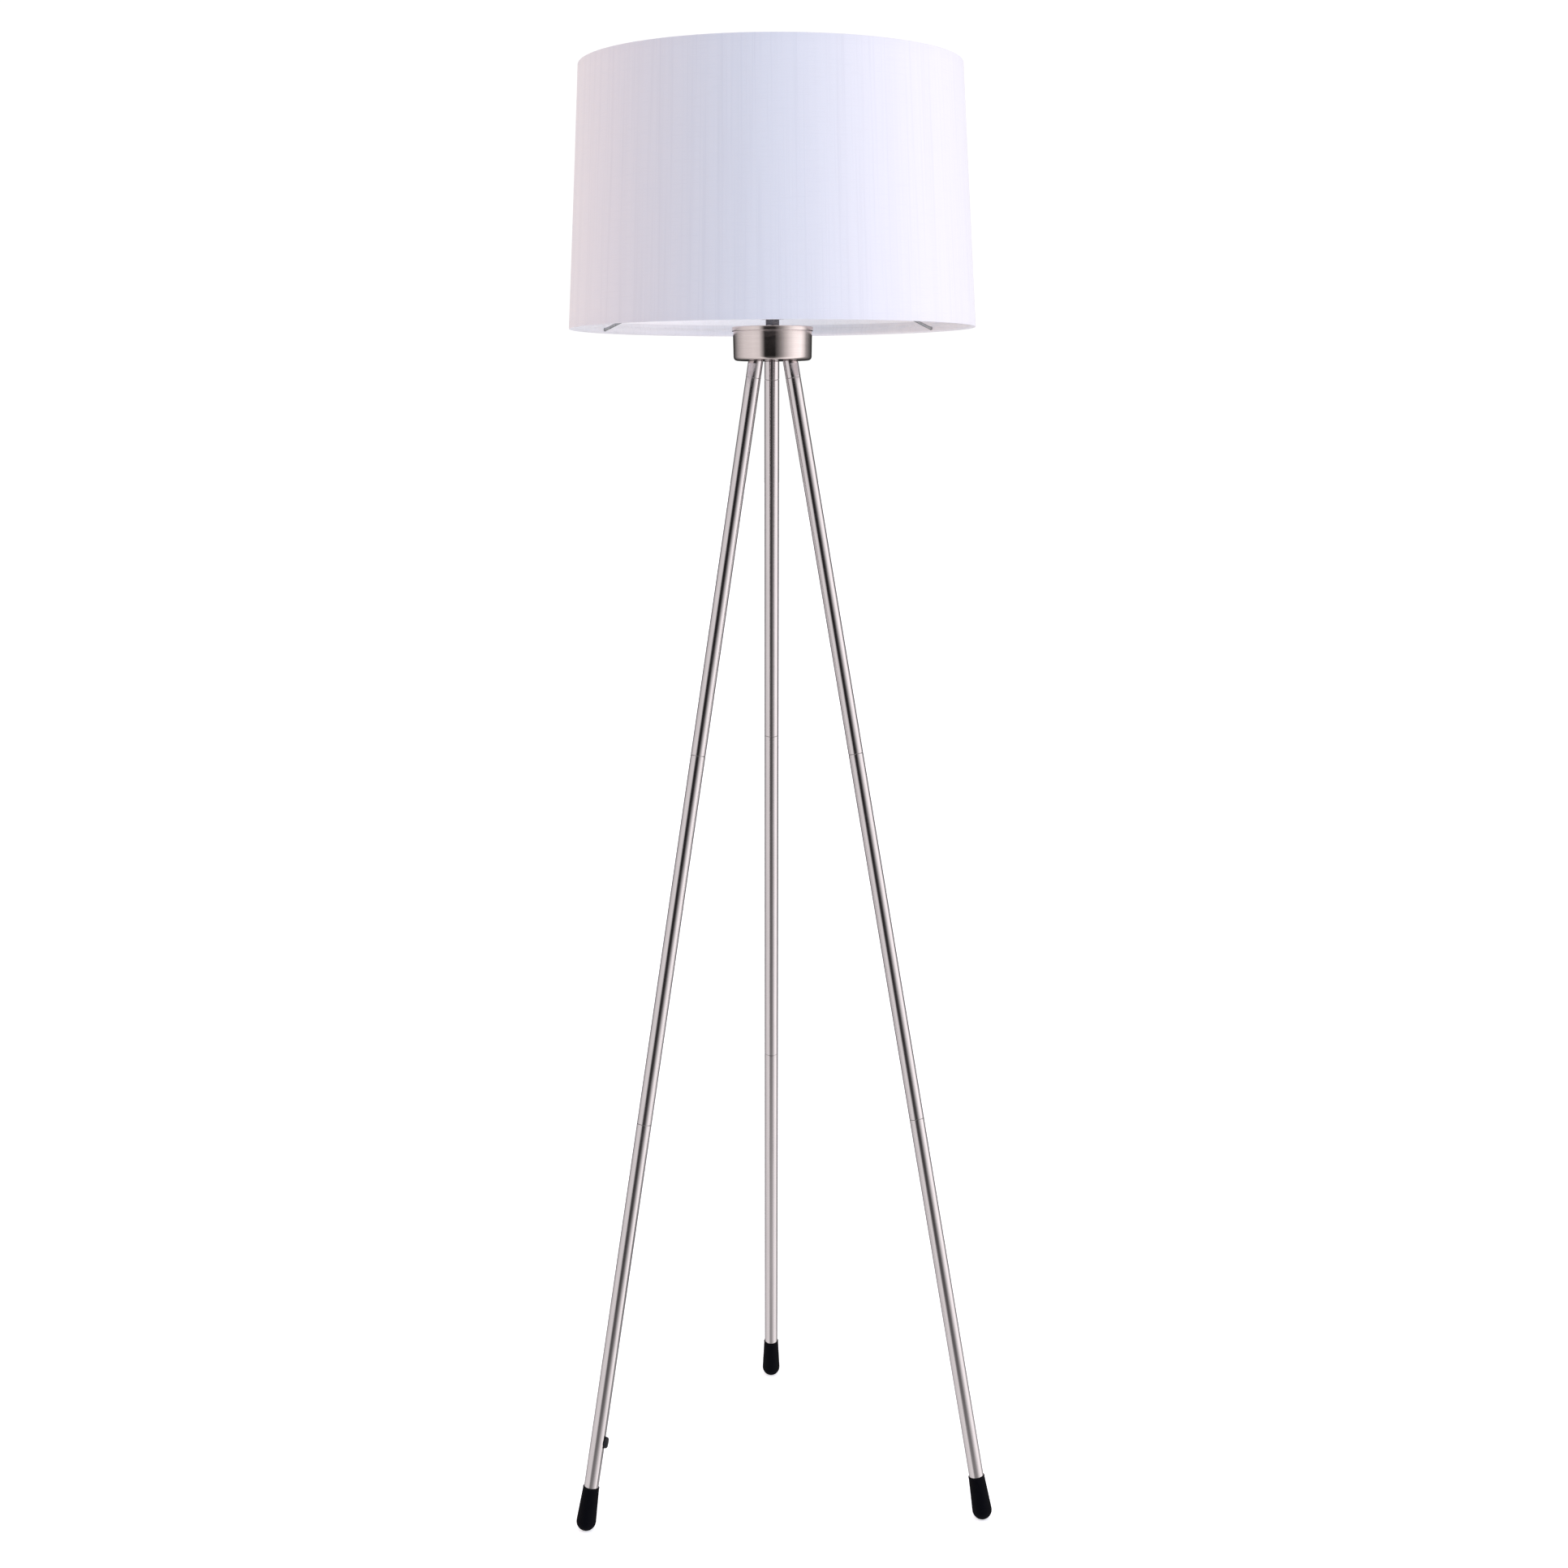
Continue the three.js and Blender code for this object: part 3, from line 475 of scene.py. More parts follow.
def layered_finish(
    name, dark, light, rough, grain, wear, marks, dust, metallic=0.0, shine=0.5, own_grain=True
):
    """A finish in four layers: grain between two colours and two roughnesses, rubbed edges, handling marks
    and dust. `rough` is (least, most), `grain` (scale, bump depth), `wear` (amount, colour, roughness) and
    `shine` the strength of the mirrored light on a piece that isn't metal."""
    material = bpy.data.materials.new(name)
    material.use_nodes = True
    tree = material.node_tree
    shader = tree.nodes["Principled BSDF"]
    place = add(tree, "TexCoord").outputs["Object"]
    along = add(tree, "Attribute", attribute_name="grain").outputs["Vector"] if own_grain else place
    streaks = effect(tree, FINE_GRAIN, {"Place": along, "Scale": grain[0]})
    smears = effect(tree, HANDLING_MARKS, {"Place": place, "Scale": marks[0], "Amount": marks[1]})["Mask"]
    rubbed = effect(tree, EDGE_WEAR, {"Place": place, "Amount": wear[0]})["Mask"]
    settled = effect(tree, SETTLED_DUST, {"Place": place, "Amount": dust})["Mask"]
    colour = blend_colour(tree, streaks["Streak"], dark, light)
    colour = blend_colour(tree, rubbed, colour, wear[1])
    colour = blend_colour(tree, settled, colour, DUST_COLOUR)
    gloss = times_plus(tree, smears, marks[2], stretch(tree, streaks["Streak"], 0.0, 1.0, *rough))
    worn = add(tree, "Mix", {0: rubbed, 2: gloss, 3: wear[2]}).outputs[0]
    dull = add(tree, "Mix", {0: settled, 2: worn, 3: 0.85}).outputs[0]
    bump = add(tree, "Bump", {"Height": streaks["Height"], "Strength": 1.0, "Distance": grain[1]})
    connect(tree, shader.inputs["Base Color"], colour)
    connect(tree, shader.inputs["Roughness"], dull)
    connect(tree, shader.inputs["Normal"], bump.outputs["Normal"])
    shader.inputs["Metallic"].default_value = metallic
    shader.inputs["Specular IOR Level"].default_value = shine
    return material


def cad_points(node):
    """Corner points of a CAD node, each once."""
    points = np.array([v.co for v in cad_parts[node].data.vertices], float)
    return np.unique(points.round(7), axis=0)


def leg_matrix(side):
    """A leg's own frame: +Z up its axis, through the middles of its two upper tubes, +X away from the lamp's
    axis, and its origin at the centre of the foot's round nose."""
    middle = cad_points(f"leg_middle_{side}").mean(0)
    up = cad_points(f"leg_upper_{side}").mean(0) - middle
    up /= np.linalg.norm(up)
    nose_height = math.sqrt(FOOT_RADIUS**2 - FOOT_WORN_RADIUS**2)
    origin = middle + up * (nose_height - middle[2]) / up[2]
    outward = np.array([0.0, 0.0, -1.0]) + up * up[2]
    outward /= np.linalg.norm(outward)
    outward = -outward if outward[:2] @ (origin[:2] - middle[:2]) < 0 else outward
    columns = np.stack([outward, np.cross(up, outward), up], 1)
    return Matrix.Translation(origin) @ Matrix(columns.tolist()).to_4x4()


def stand_level(points):
    """The nose is worn level: nothing of it goes below the floor."""
    return np.concatenate([points[:, :2], np.maximum(points[:, 2:], 0.0)], 1)


SIDES = ("back", "left", "right")
LEG_FRAMES = {side: leg_matrix(side) for side in SIDES}


def foot_shell():
    """Boot profile: a quarter circle from the nose to the sleeve, a cone to the lip, and the hole inside."""
    nose = circle_arc((0, 0), FOOT_RADIUS, -90, -4, 26)
    lip = [
        (FOOT_RADIUS, 0.0006, 0.0005),
        (FOOT_TOP_RADIUS, FOOT_TOP - FOOT_LIP - 0.0003, 0.0004),
        (FOOT_TOP_RADIUS + 0.00018, FOOT_TOP - FOOT_LIP, 0.0003),
        (FOOT_TOP_RADIUS + 0.0001, FOOT_TOP, 0.0004),
        (FOOT_HOLE_RADIUS, FOOT_TOP, 0.0002),
        (FOOT_HOLE_RADIUS, FOOT_SOLE, 0.0003),
        (0.0, FOOT_SOLE),
    ]
    sleeve, edges = rounded(lip, closed=False)
    profile = np.vstack([nose, sleeve])
    return turned(profile, FOOT_COLUMNS), np.concatenate([np.zeros(len(nose)), edges]), False


RUBBER = layered_finish(
    "black_rubber",
    RUBBER_BLACK,
    RUBBER_GREY,
    rough=(0.62, 0.82),
    grain=(2600.0, 0.00006),
    wear=(0.7, (0.022, 0.021, 0.022, 1.0), 0.7),
    marks=(140.0, 0.8, 0.12),
    dust=0.12,
    shine=0.05,
    own_grain=False,
)
for side in SIDES:
    foot = make_piece(f"rubber_foot_{side}", [foot_shell()], LEG_FRAMES[side], shape=stand_level)
    fit(foot, RUBBER, "stand", "black_rubber", f"foot_{side}")

# ---- Leg tubes ----
# Each leg is three steel tubes with a short ferrule above them, drawn straight, satin nickel plated and
# finely brushed along. The ends are broken to a small chamfer, so a joint shows as a thin dark line.

TUBE_RADIUS = 0.008
TUBE_BORE = 0.0068
BUSH_BORE = 0.0051
BUSH_DEPTH = 0.015
BUSH_CONE = 0.001
TUBE_CHAMFER = 0.00025
TUBE_COLUMNS = 96
NICKEL_DARK = (0.585, 0.535, 0.545, 1.0)
NICKEL_LIGHT = (0.655, 0.60, 0.61, 1.0)
NICKEL_BRIGHT = (0.78, 0.75, 0.75, 1.0)

SATIN_NICKEL = layered_finish(
    "satin_nickel",
    NICKEL_DARK,
    NICKEL_LIGHT,
    rough=(0.10, 0.15),
    grain=(2400.0, 0.000002),
    wear=(0.8, NICKEL_BRIGHT, 0.2),
    marks=(38.0, 0.9, 0.05),
    dust=0.12,
    metallic=1.0,
)


def reach_along(node, matrix):
    """Lowest and highest place of a CAD node along its leg."""
    heights = joined(cad_points(node), matrix.inverted())[:, 2]
    return heights.min(), heights.max()


def tube_shell(bottom, top, bushed):
    """Tube profile: chamfered ends, a plain bore, and a narrower threaded bush in each screwed end."""
    plain_end = [(TUBE_BORE, bottom, 0.0002)]
    bushed_end = [
        (TUBE_BORE, bottom + BUSH_DEPTH + BUSH_CONE, 0.0004),
        (BUSH_BORE, bottom + BUSH_DEPTH, 0.0003),
        (BUSH_BORE, bottom, 0.0002),
    ]
    corners = bushed_end if bushed else plain_end
    corners += [
        (TUBE_RADIUS - TUBE_CHAMFER, bottom, 0.00015),
        (TUBE_RADIUS, bottom + TUBE_CHAMFER, 0.0002),
        (TUBE_RADIUS, top - TUBE_CHAMFER, 0.0002),
        (TUBE_RADIUS - TUBE_CHAMFER, top, 0.00015),
        (BUSH_BORE, top, 0.0002),
        (BUSH_BORE, top - BUSH_DEPTH, 0.0003),
        (TUBE_BORE, top - BUSH_DEPTH - BUSH_CONE, 0.0004),
    ]
    profile, edges = rounded(corners, steps=4)
    return turned(profile, TUBE_COLUMNS), edges, True


def drill(piece, points, faces):
    """Cuts a closed tool, given as points and faces, out of a piece."""
    mesh = bpy.data.meshes.new("tool")
    mesh.from_pydata(points.tolist(), [], faces)
    tool = bpy.data.objects.new("tool", mesh)
    bpy.context.scene.collection.objects.link(tool)
    cut = piece.modifiers.new("cut", "BOOLEAN")
    cut.operation = "DIFFERENCE"
    cut.object = tool
    bpy.context.view_layer.update()
    ready = piece.evaluated_get(bpy.context.evaluated_depsgraph_get())
    result = bpy.data.meshes.new_from_object(ready)
    piece.modifiers.clear()
    piece.data = result
    bpy.data.objects.remove(tool)


def bar_points(radius, low, high, matrix, columns=48):
    """A plain closed bar along +Z, placed by a matrix: its points and faces."""
    profile = np.array([[0, low], [radius, low], [radius, high], [0, high]])
    points = turned(profile, columns)
    flat = np.vstack([points[1:-1].reshape(-1, 3), points[0, :1], points[-1, :1]])
    return joined(flat, matrix), grid_faces(4, columns, False)


GROMMET_HEIGHT = 0.090
OUTLET_RADIUS = 0.0049
OUTLET_REACH = (0.003, 0.012)
bushing_centre = joined(cad_points("cord_grommet"), LEG_FRAMES["left"].inverted()).mean(0)
OUTLET_TURN = Matrix.Rotation(math.atan2(bushing_centre[1], bushing_centre[0]), 4, "Z")
ACROSS_LEG = OUTLET_TURN @ Matrix.Rotation(math.pi / 2, 4, "Y")

for side in SIDES:
    for level in ("lower", "middle", "upper"):
        node = f"leg_{level}_{side}"
        bottom, top = reach_along(node, LEG_FRAMES[side])
        shell = tube_shell(bottom, top, level != "lower")
        tube = make_piece(f"tube_{level}_{side}", [shell], LEG_FRAMES[side])
        if node == "leg_lower_left":
            outlet = LEG_FRAMES[side] @ Matrix.Translation((0, 0, GROMMET_HEIGHT)) @ ACROSS_LEG
            drill(tube, *bar_points(OUTLET_RADIUS, *OUTLET_REACH, outlet))
        fit(tube, SATIN_NICKEL, "stand", "satin_steel", node)

# ---- Nipples and nuts of the legs ----
# A hollow threaded nipple joins each pair of tubes, and a thin hexagon nut holds each leg's stud inside the
# hub. They are turned from free-cutting steel and bright zinc plated.

STUD_RADIUS = 0.0048
STUD_BORE = 0.0034
STUD_PITCH = 0.001
STUD_DEPTH = 0.00028
STUD_COLUMNS = 40
STUD_ROWS_PER_PITCH = 7
STUD_CHAMFER = 0.0007
NUT_FLATS = 0.014
NUT_COLUMNS = 96
NUT_FACE = 0.965
NUT_CONE = 1.73
NUT_COUNTERSINK = 0.0004
ZINC_DARK = (0.50, 0.51, 0.53, 1.0)
ZINC_LIGHT = (0.70, 0.71, 0.74, 1.0)

BRIGHT_ZINC = layered_finish(
    "bright_zinc",
    ZINC_DARK,
    ZINC_LIGHT,
    rough=(0.16, 0.30),
    grain=(1800.0, 0.00001),
    wear=(0.9, (0.82, 0.82, 0.84, 1.0), 0.14),
    marks=(120.0, 0.8, 0.12),
    dust=0.2,
    metallic=1.0,
)


def threaded_pipe(bore, radius, bottom, top):
    """A pipe with a rolled thread: its radius falls and rises once a pitch, and a full turn of angle moves
    the wave by one pitch. The thread fades out into a chamfer at both ends."""
    rows = int((top - bottom) / STUD_PITCH * STUD_ROWS_PER_PITCH)
    height = np.linspace(bottom, top, rows)[:, None]
    angle = even_angles(STUD_COLUMNS)
    wave = 0.5 + 0.5 * np.cos(2 * np.pi * height / STUD_PITCH - angle)
    ends = np.clip(np.minimum(height - bottom, top - height) / STUD_CHAMFER, 0, 1)
    outer = radius - STUD_DEPTH * (1 - wave * ends)
    inner = np.full((2, STUD_COLUMNS), bore)
    r = np.vstack([outer, inner])
    return swept(r, np.vstack([height, [[top]], [[bottom]]]), angle), np.zeros(len(r)), True


def nut_shell(flats, hole, bottom, top):
    """A hexagon nut: six flats, with both faces chamfered by a cone that touches the middle of each flat."""
    angle = even_angles(NUT_COLUMNS)
    flat_side = flats / 2 / np.cos((angle + np.pi / 6) % (np.pi / 3) - np.pi / 6)
    rise = np.array([0, 0.0001, 0.0003, 0.0005, 0.0007, 0.0009, 0.0012])
    heights = np.concatenate([bottom + rise, top - rise[::-1]])[:, None]
    from_end = np.concatenate([rise, rise[::-1]])[:, None]
    outer = np.minimum(flat_side, flats / 2 * NUT_FACE + NUT_CONE * from_end)
    wide = hole + NUT_COUNTERSINK
    bore = [[wide, top], [hole, top - NUT_COUNTERSINK], [hole, bottom + NUT_COUNTERSINK], [wide, bottom]]
    bore = np.array(bore)
    r = np.vstack([outer, bore[:, :1] + 0 * angle])
    edges = np.concatenate([(from_end[:, 0] < 0.0009) * 0.7, np.zeros(len(bore))])
    return swept(r, np.vstack([heights, bore[:, 1:]]), angle), edges, True


for side in SIDES:
    for level in ("top", "mid", "low"):
        node = f"leg_nipple_{level}_{side}"
        bottom, top = reach_along(node, LEG_FRAMES[side])
        shell = threaded_pipe(STUD_BORE, STUD_RADIUS, bottom, top)
        nipple = make_piece(f"nipple_{level}_{side}", [shell], LEG_FRAMES[side], grain_around)
        fit(nipple, BRIGHT_ZINC, "stand", "bright_steel", node)
    node = f"leg_nut_{side}"
    bottom, top = reach_along(node, LEG_FRAMES[side])
    shell = nut_shell(NUT_FLATS, BUSH_BORE, bottom, top)
    nut = make_piece(f"stud_nut_{side}", [shell], LEG_FRAMES[side], grain_around)
    fit(nut, BRIGHT_ZINC, "stand", "bright_steel", node)

# ---- Cord bushing ----
# An oval black bushing snaps into the left leg a hand's breadth above the foot. Its flange is saddle-cut to
# the tube, its crown is domed, and a round bore runs through it.

GROMMET_LENGTH = 0.00625
GROMMET_WIDTH = 0.00525
GROMMET_PROUD = 0.0035
GROMMET_CROWN = 0.0027
GROMMET_CREST = 0.0039
GROMMET_NECK = 0.0046
GROMMET_BORE = 0.0031
GROMMET_INWARD = 0.0016
GROMMET_LIP = 0.0007
GROMMET_EDGE = 0.0004
GROMMET_COLUMNS = 96

SATIN_BLACK = layered_finish(
    "satin_black",
    (0.012, 0.012, 0.013, 1.0),
    (0.024, 0.024, 0.025, 1.0),
    rough=(0.34, 0.50),
    grain=(3200.0, 0.00002),
    wear=(0.6, (0.06, 0.06, 0.062, 1.0), 0.35),
    marks=(150.0, 0.8, 0.15),
    dust=0.15,
    shine=0.25,
    own_grain=False,
)


def grommet_shell():
    """Oval rings about +X: each has a half length, a half width and a height above the tube's axis. The
    underside of the flange follows the tube, at height sqrt(R squared minus y squared)."""
    angle = even_angles(GROMMET_COLUMNS)
    top = TUBE_RADIUS + GROMMET_PROUD
    inside = TUBE_BORE - GROMMET_INWARD
    quarter = np.radians(np.linspace(0, 90, 12))
    crown_out, crown_up = 1 - np.cos(quarter), np.sin(quarter)
    lip = np.radians(np.linspace(0, 90, 7))
    dome_length = GROMMET_LENGTH - (GROMMET_LENGTH - GROMMET_CREST) * crown_out
    dome_width = GROMMET_WIDTH - (GROMMET_WIDTH - GROMMET_CREST) * crown_out
    dome_height = top - GROMMET_CROWN + GROMMET_CROWN * crown_up
    lip_radius = GROMMET_BORE + GROMMET_LIP * (1 - np.sin(lip))
    lip_height = top - GROMMET_LIP + GROMMET_LIP * np.cos(lip)
    straight = [GROMMET_BORE, GROMMET_NECK, GROMMET_NECK]
    long_rim = [GROMMET_LENGTH - GROMMET_EDGE, GROMMET_LENGTH]
    wide_rim = [GROMMET_WIDTH - GROMMET_EDGE, GROMMET_WIDTH]
    length = np.concatenate([straight, long_rim, dome_length, lip_radius])
    width = np.concatenate([straight, wide_rim, dome_width, lip_radius])
    height = np.concatenate([[inside, inside, 0.0, 0.0, 0.0], dome_height, lip_height])
    y = width[:, None] * np.cos(angle)
    z = length[:, None] * np.sin(angle)
    x = height[:, None] + 0 * angle
    saddle = np.sqrt((TUBE_RADIUS + 0.00012) ** 2 - y**2)
    x[2:4] = saddle[2:4]
    x[4] = saddle[4] + GROMMET_EDGE
    return np.stack([x, y, z + GROMMET_HEIGHT], 2), np.zeros(len(x)), True


grommet = make_piece("cord_bushing", [grommet_shell()], LEG_FRAMES["left"] @ OUTLET_TURN)
fit(grommet, SATIN_BLACK, "stand", "black_plastic", "cord_grommet")

# ---- Ferrules ----
# A short nickel plated ferrule tops each leg. Its upper end is cut level against the underside of the hub,
# and its hollow threaded stud goes on up through the hub's floor.

FERRULE_SOCKET = 0.014
FERRULE_GAP = 0.0003

hub_low, hub_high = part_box("hub_cup")


def ferrule_shell(bottom, matrix):
    """A barrel whose upper edge lies in the level plane just below the hub: its height along the leg is
    solved for at every angle and radius."""
    level = hub_low.z - FERRULE_GAP
    angle = even_angles(TUBE_COLUMNS)
    radius = np.array(
        [STUD_BORE, BUSH_BORE, BUSH_BORE, 0.0076, 0.0078, 0.00795, 0.008, 0.008]
        + [0.008, 0.008, 0.00793, 0.00775, 0.0072, STUD_BORE]
    )
    bottom_rise = np.array([FERRULE_SOCKET + 0.001, FERRULE_SOCKET, 0, 0, 0.00008, 0.00025, 0.0004, 0.0006])
    top_drop = np.array([0.0006, 0.0004, 0.00018, 0.00004, 0.0, 0.0])
    x = radius[:, None] * np.cos(angle)
    y = radius[:, None] * np.sin(angle)
    slope = np.array(matrix.to_3x3())[2]
    reach = (level - matrix.translation.z - slope[0] * x - slope[1] * y) / slope[2]
    low = bottom + bottom_rise[:, None] + 0 * angle
    z = np.vstack([low, reach[8:] - top_drop[:, None]])
    edges = np.array([0, 0, 0, 0.4, 1, 1, 0.4, 0, 0, 0.4, 1, 1, 0, 0])
    return np.stack([x, y, z], 2), edges, True


for side in SIDES:
    node = f"leg_stub_{side}"
    bottom, top = reach_along(node, LEG_FRAMES[side])
    stud = threaded_pipe(STUD_BORE - 0.0001, STUD_RADIUS, bottom + FERRULE_SOCKET + 0.0012, top)
    barrel = ferrule_shell(bottom, LEG_FRAMES[side])
    ferrule = make_piece(f"ferrule_{side}", [barrel, stud], LEG_FRAMES[side])
    fit(ferrule, SATIN_NICKEL, "stand", "satin_steel", node)

# ---- Hub ----
# A pressed steel cup with a rounded lower corner and a turned lid whose rim stands slightly proud. Both are
# satin nickel plated and polished round on the lathe, so their shine falls in soft upright bands.

CUP_WALL = 0.0016
CUP_FLOOR = 0.002
CUP_CORNER = 0.004
CUP_INNER_CORNER = 0.0026
CUP_DRAFT = 0.0005
SPIGOT_DROP = 0.003
SPIGOT_GAP = 0.0006
LID_TAPER = 0.00017
HUB_COLUMNS = 192
STUD_HOLE_START = 0.034
STUD_HOLE_END = 0.008

lid_low, lid_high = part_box("hub_lid")
AXIS = (hub_low + hub_high) / 2
ON_AXIS = Matrix.Translation((AXIS.x, AXIS.y, 0.0))
CUP_RADIUS = (hub_high.x - hub_low.x) / 2
LID_RADIUS = (lid_high.x - lid_low.x) / 2
LID_UNDER = lid_low.z + SPIGOT_DROP

TURNED_NICKEL = layered_finish(
    "turned_nickel",
    (0.635, 0.55, 0.54, 1.0),
    (0.675, 0.585, 0.575, 1.0),
    rough=(0.07, 0.10),
    grain=(1500.0, 0.0000005),
    wear=(0.8, NICKEL_BRIGHT, 0.18),
    marks=(45.0, 0.9, 0.03),
    dust=0.15,
    metallic=1.0,
)


def cup_shell():
    """Cup profile: flat floor, quarter-circle corner, a wall that draws in slightly downwards, as a pressed
    one does, and the same again inside."""
    bend = (CUP_RADIUS - CUP_DRAFT - CUP_CORNER, hub_low.z + CUP_CORNER)
    corner = circle_arc(bend, CUP_CORNER, -90, 0, 14)
    inner = CUP_RADIUS - CUP_WALL
    inner_bend = (inner - CUP_INNER_CORNER, hub_low.z + CUP_FLOOR + CUP_INNER_CORNER)
    inside_corner = circle_arc(inner_bend, CUP_INNER_CORNER, 0, -90, 8)
    wall = [
        corner[-1] + np.array([0.00001, 0.0005]),
        (CUP_RADIUS, hub_high.z, 0.0003),
        (inner, hub_high.z, 0.0003),
        (inner, hub_low.z + 0.012),
    ]
    rim, edges = rounded(wall, closed=False)
    floor_rows = np.array([[0, hub_low.z], [0.02, hub_low.z], [0.036, hub_low.z]])
    inner_rows = np.array([[0.034, hub_low.z + CUP_FLOOR], [0.0, hub_low.z + CUP_FLOOR]])
    profile = np.vstack([floor_rows, corner, rim, inside_corner, inner_rows])
    marks = np.concatenate([np.zeros(3 + len(corner)), edges, np.zeros(len(inside_corner) + 2)])
    return turned(profile, HUB_COLUMNS), marks, False


def lid_shell():
    """Lid profile: a spigot inside the cup, a proud rim that draws in a little downwards, and a flat top with
    a centre hole."""
    inner = CUP_RADIUS - CUP_WALL - SPIGOT_GAP
    corners = [
        (BUSH_BORE, lid_low.z, 0.0002),
        (inner, lid_low.z, 0.0004),
        (inner, LID_UNDER, 0.0002),
        (LID_RADIUS - LID_TAPER, LID_UNDER, 0.0004),
        (LID_RADIUS, lid_high.z, 0.0005),
        (BUSH_BORE, lid_high.z, 0.0003),
    ]
    profile, edges = rounded(corners, steps=7)
    return turned(profile, HUB_COLUMNS), edges, True


cup = make_piece("hub_cup_shell", [cup_shell()], ON_AXIS, grain_around)
for side in SIDES:
    bottom, top = reach_along(f"leg_stub_{side}", LEG_FRAMES[side])
    drill(cup, *bar_points(BUSH_BORE, top - STUD_HOLE_START, top - STUD_HOLE_END, LEG_FRAMES[side]))
fit(cup, TURNED_NICKEL, "stand", "satin_steel", "hub_cup")
lid = make_piece("hub_lid_disc", [lid_shell()], ON_AXIS, grain_around)
fit(lid, TURNED_NICKEL, "stand", "satin_steel", "hub_lid")

# ---- Inside the hub ----
# A steel plate with three angled bosses lies on the cup's floor, and a hollow threaded nipple rises from it
# through the lid to the lampholder. Nuts below and above the lid, and a washer, draw it all together.

WASHER_RADIUS = 0.011
LID_NUT_FLATS = 0.014


def dress(node, finish):
    """Gives a CAD node that stays in view its finish."""
    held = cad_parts[node]
    held.data.materials.clear()
    held.data.materials.append(finish)


MILLED_STEEL = layered_finish(
    "milled_steel",
    ZINC_DARK,
    ZINC_LIGHT,
    rough=(0.28, 0.42),
    grain=(900.0, 0.00002),
    wear=(0.0, ZINC_LIGHT, 0.3),
    marks=(90.0, 0.9, 0.12),
    dust=0.3,
    metallic=1.0,
    own_grain=False,
)
dress("leg_socket_plate", MILLED_STEEL)


def axis_reach(node):
    """Lowest and highest place of a CAD node up the lamp's axis."""
    low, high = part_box(node)
    return low.z, high.z


bottom, top = axis_reach("centre_nipple")
pipe = threaded_pipe(STUD_BORE, STUD_RADIUS, bottom, top)
centre = make_piece("centre_pipe", [pipe], ON_AXIS, grain_around)
fit(centre, BRIGHT_ZINC, "stand", "bright_steel", "centre_nipple")

bottom, top = axis_reach("plate_nut")
shell = nut_shell(NUT_FLATS, BUSH_BORE, bottom, top)
inner_nut = make_piece("inner_nut", [shell], ON_AXIS, grain_around)
fit(inner_nut, BRIGHT_ZINC, "stand", "bright_steel", "plate_nut")

bottom, top = axis_reach("lid_washer")
washer_corners = [
    (BUSH_BORE, bottom, 0.0002),
    (WASHER_RADIUS, bottom, 0.0002),
    (WASHER_RADIUS, top, 0.0005),
    (BUSH_BORE, top, 0.0002),
]
washer = lathe_piece("neck_washer", washer_corners, NUT_COLUMNS, ON_AXIS, grain_around)
fit(washer, BRIGHT_ZINC, "stand", "satin_steel", "lid_washer")

DARK_STEEL = layered_finish(
    "dark_steel",
    (0.08, 0.08, 0.095, 1.0),
    (0.17, 0.17, 0.19, 1.0),
    rough=(0.16, 0.28),
    grain=(1500.0, 0.00001),
    wear=(0.9, (0.46, 0.46, 0.48, 1.0), 0.18),
    marks=(120.0, 0.8, 0.10),
    dust=0.1,
    metallic=1.0,
)
bottom, top = axis_reach("lid_nut")
shell = nut_shell(LID_NUT_FLATS, BUSH_BORE, bottom, top)
neck_nut = make_piece("neck_nut", [shell], ON_AXIS, grain_around)
fit(neck_nut, DARK_STEEL, "stand", "bright_steel", "lid_nut")

# ---- Lampholder ----
# A pressed cap, screwed to the nipple, holds a moulded black body. The body has a shoulder for the shade's
# fitter and a coarse thread above it for the clamp ring, and the brass screw shell stands inside it.

CAP_WALL = 0.0015
BODY_RADIUS = 0.018
BODY_BORE = 0.0165
SHOULDER_RADIUS = 0.025
SHOULDER_HEIGHT = 0.003
NECK_RADIUS = 0.0205
NECK_PITCH = 0.0032
NECK_DEPTH = 0.0009
NECK_ROWS = 40
CLAMP_RADIUS = 0.0255
CLAMP_FLUTES = 24
CLAMP_FLUTE_DEPTH = 0.0008
CLAMP_GAP = 0.0003
CLAMP_FILLET = 0.0007
CLAMP_COLUMNS = 288
THREAD_PITCH = 0.00363
THREAD_DEPTH = 0.00035
HOLDER_COLUMNS = 144
SHELL_RADIUS = 0.0138
SHELL_SHEET = 0.0005
SHELL_ROWS = 70
SHELL_COLUMNS = 96

BRASS = layered_finish(
    "rolled_brass",
    (0.55, 0.38, 0.14, 1.0),
    (0.74, 0.56, 0.26, 1.0),
    rough=(0.22, 0.36),
    grain=(1500.0, 0.00001),
    wear=(0.8, (0.86, 0.70, 0.38, 1.0), 0.2),
    marks=(110.0, 0.9, 0.16),
    dust=0.2,
    metallic=1.0,
    own_grain=False,
)
INSULATOR = layered_finish(
    "white_insulator",
    (0.74, 0.72, 0.66, 1.0),
    (0.84, 0.82, 0.77, 1.0),
    rough=(0.34, 0.46),
    grain=(1200.0, 0.00001),
    wear=(0.0, (0.84, 0.82, 0.77, 1.0), 0.4),
    marks=(100.0, 0.7, 0.12),
    dust=0.3,
    own_grain=False,
)

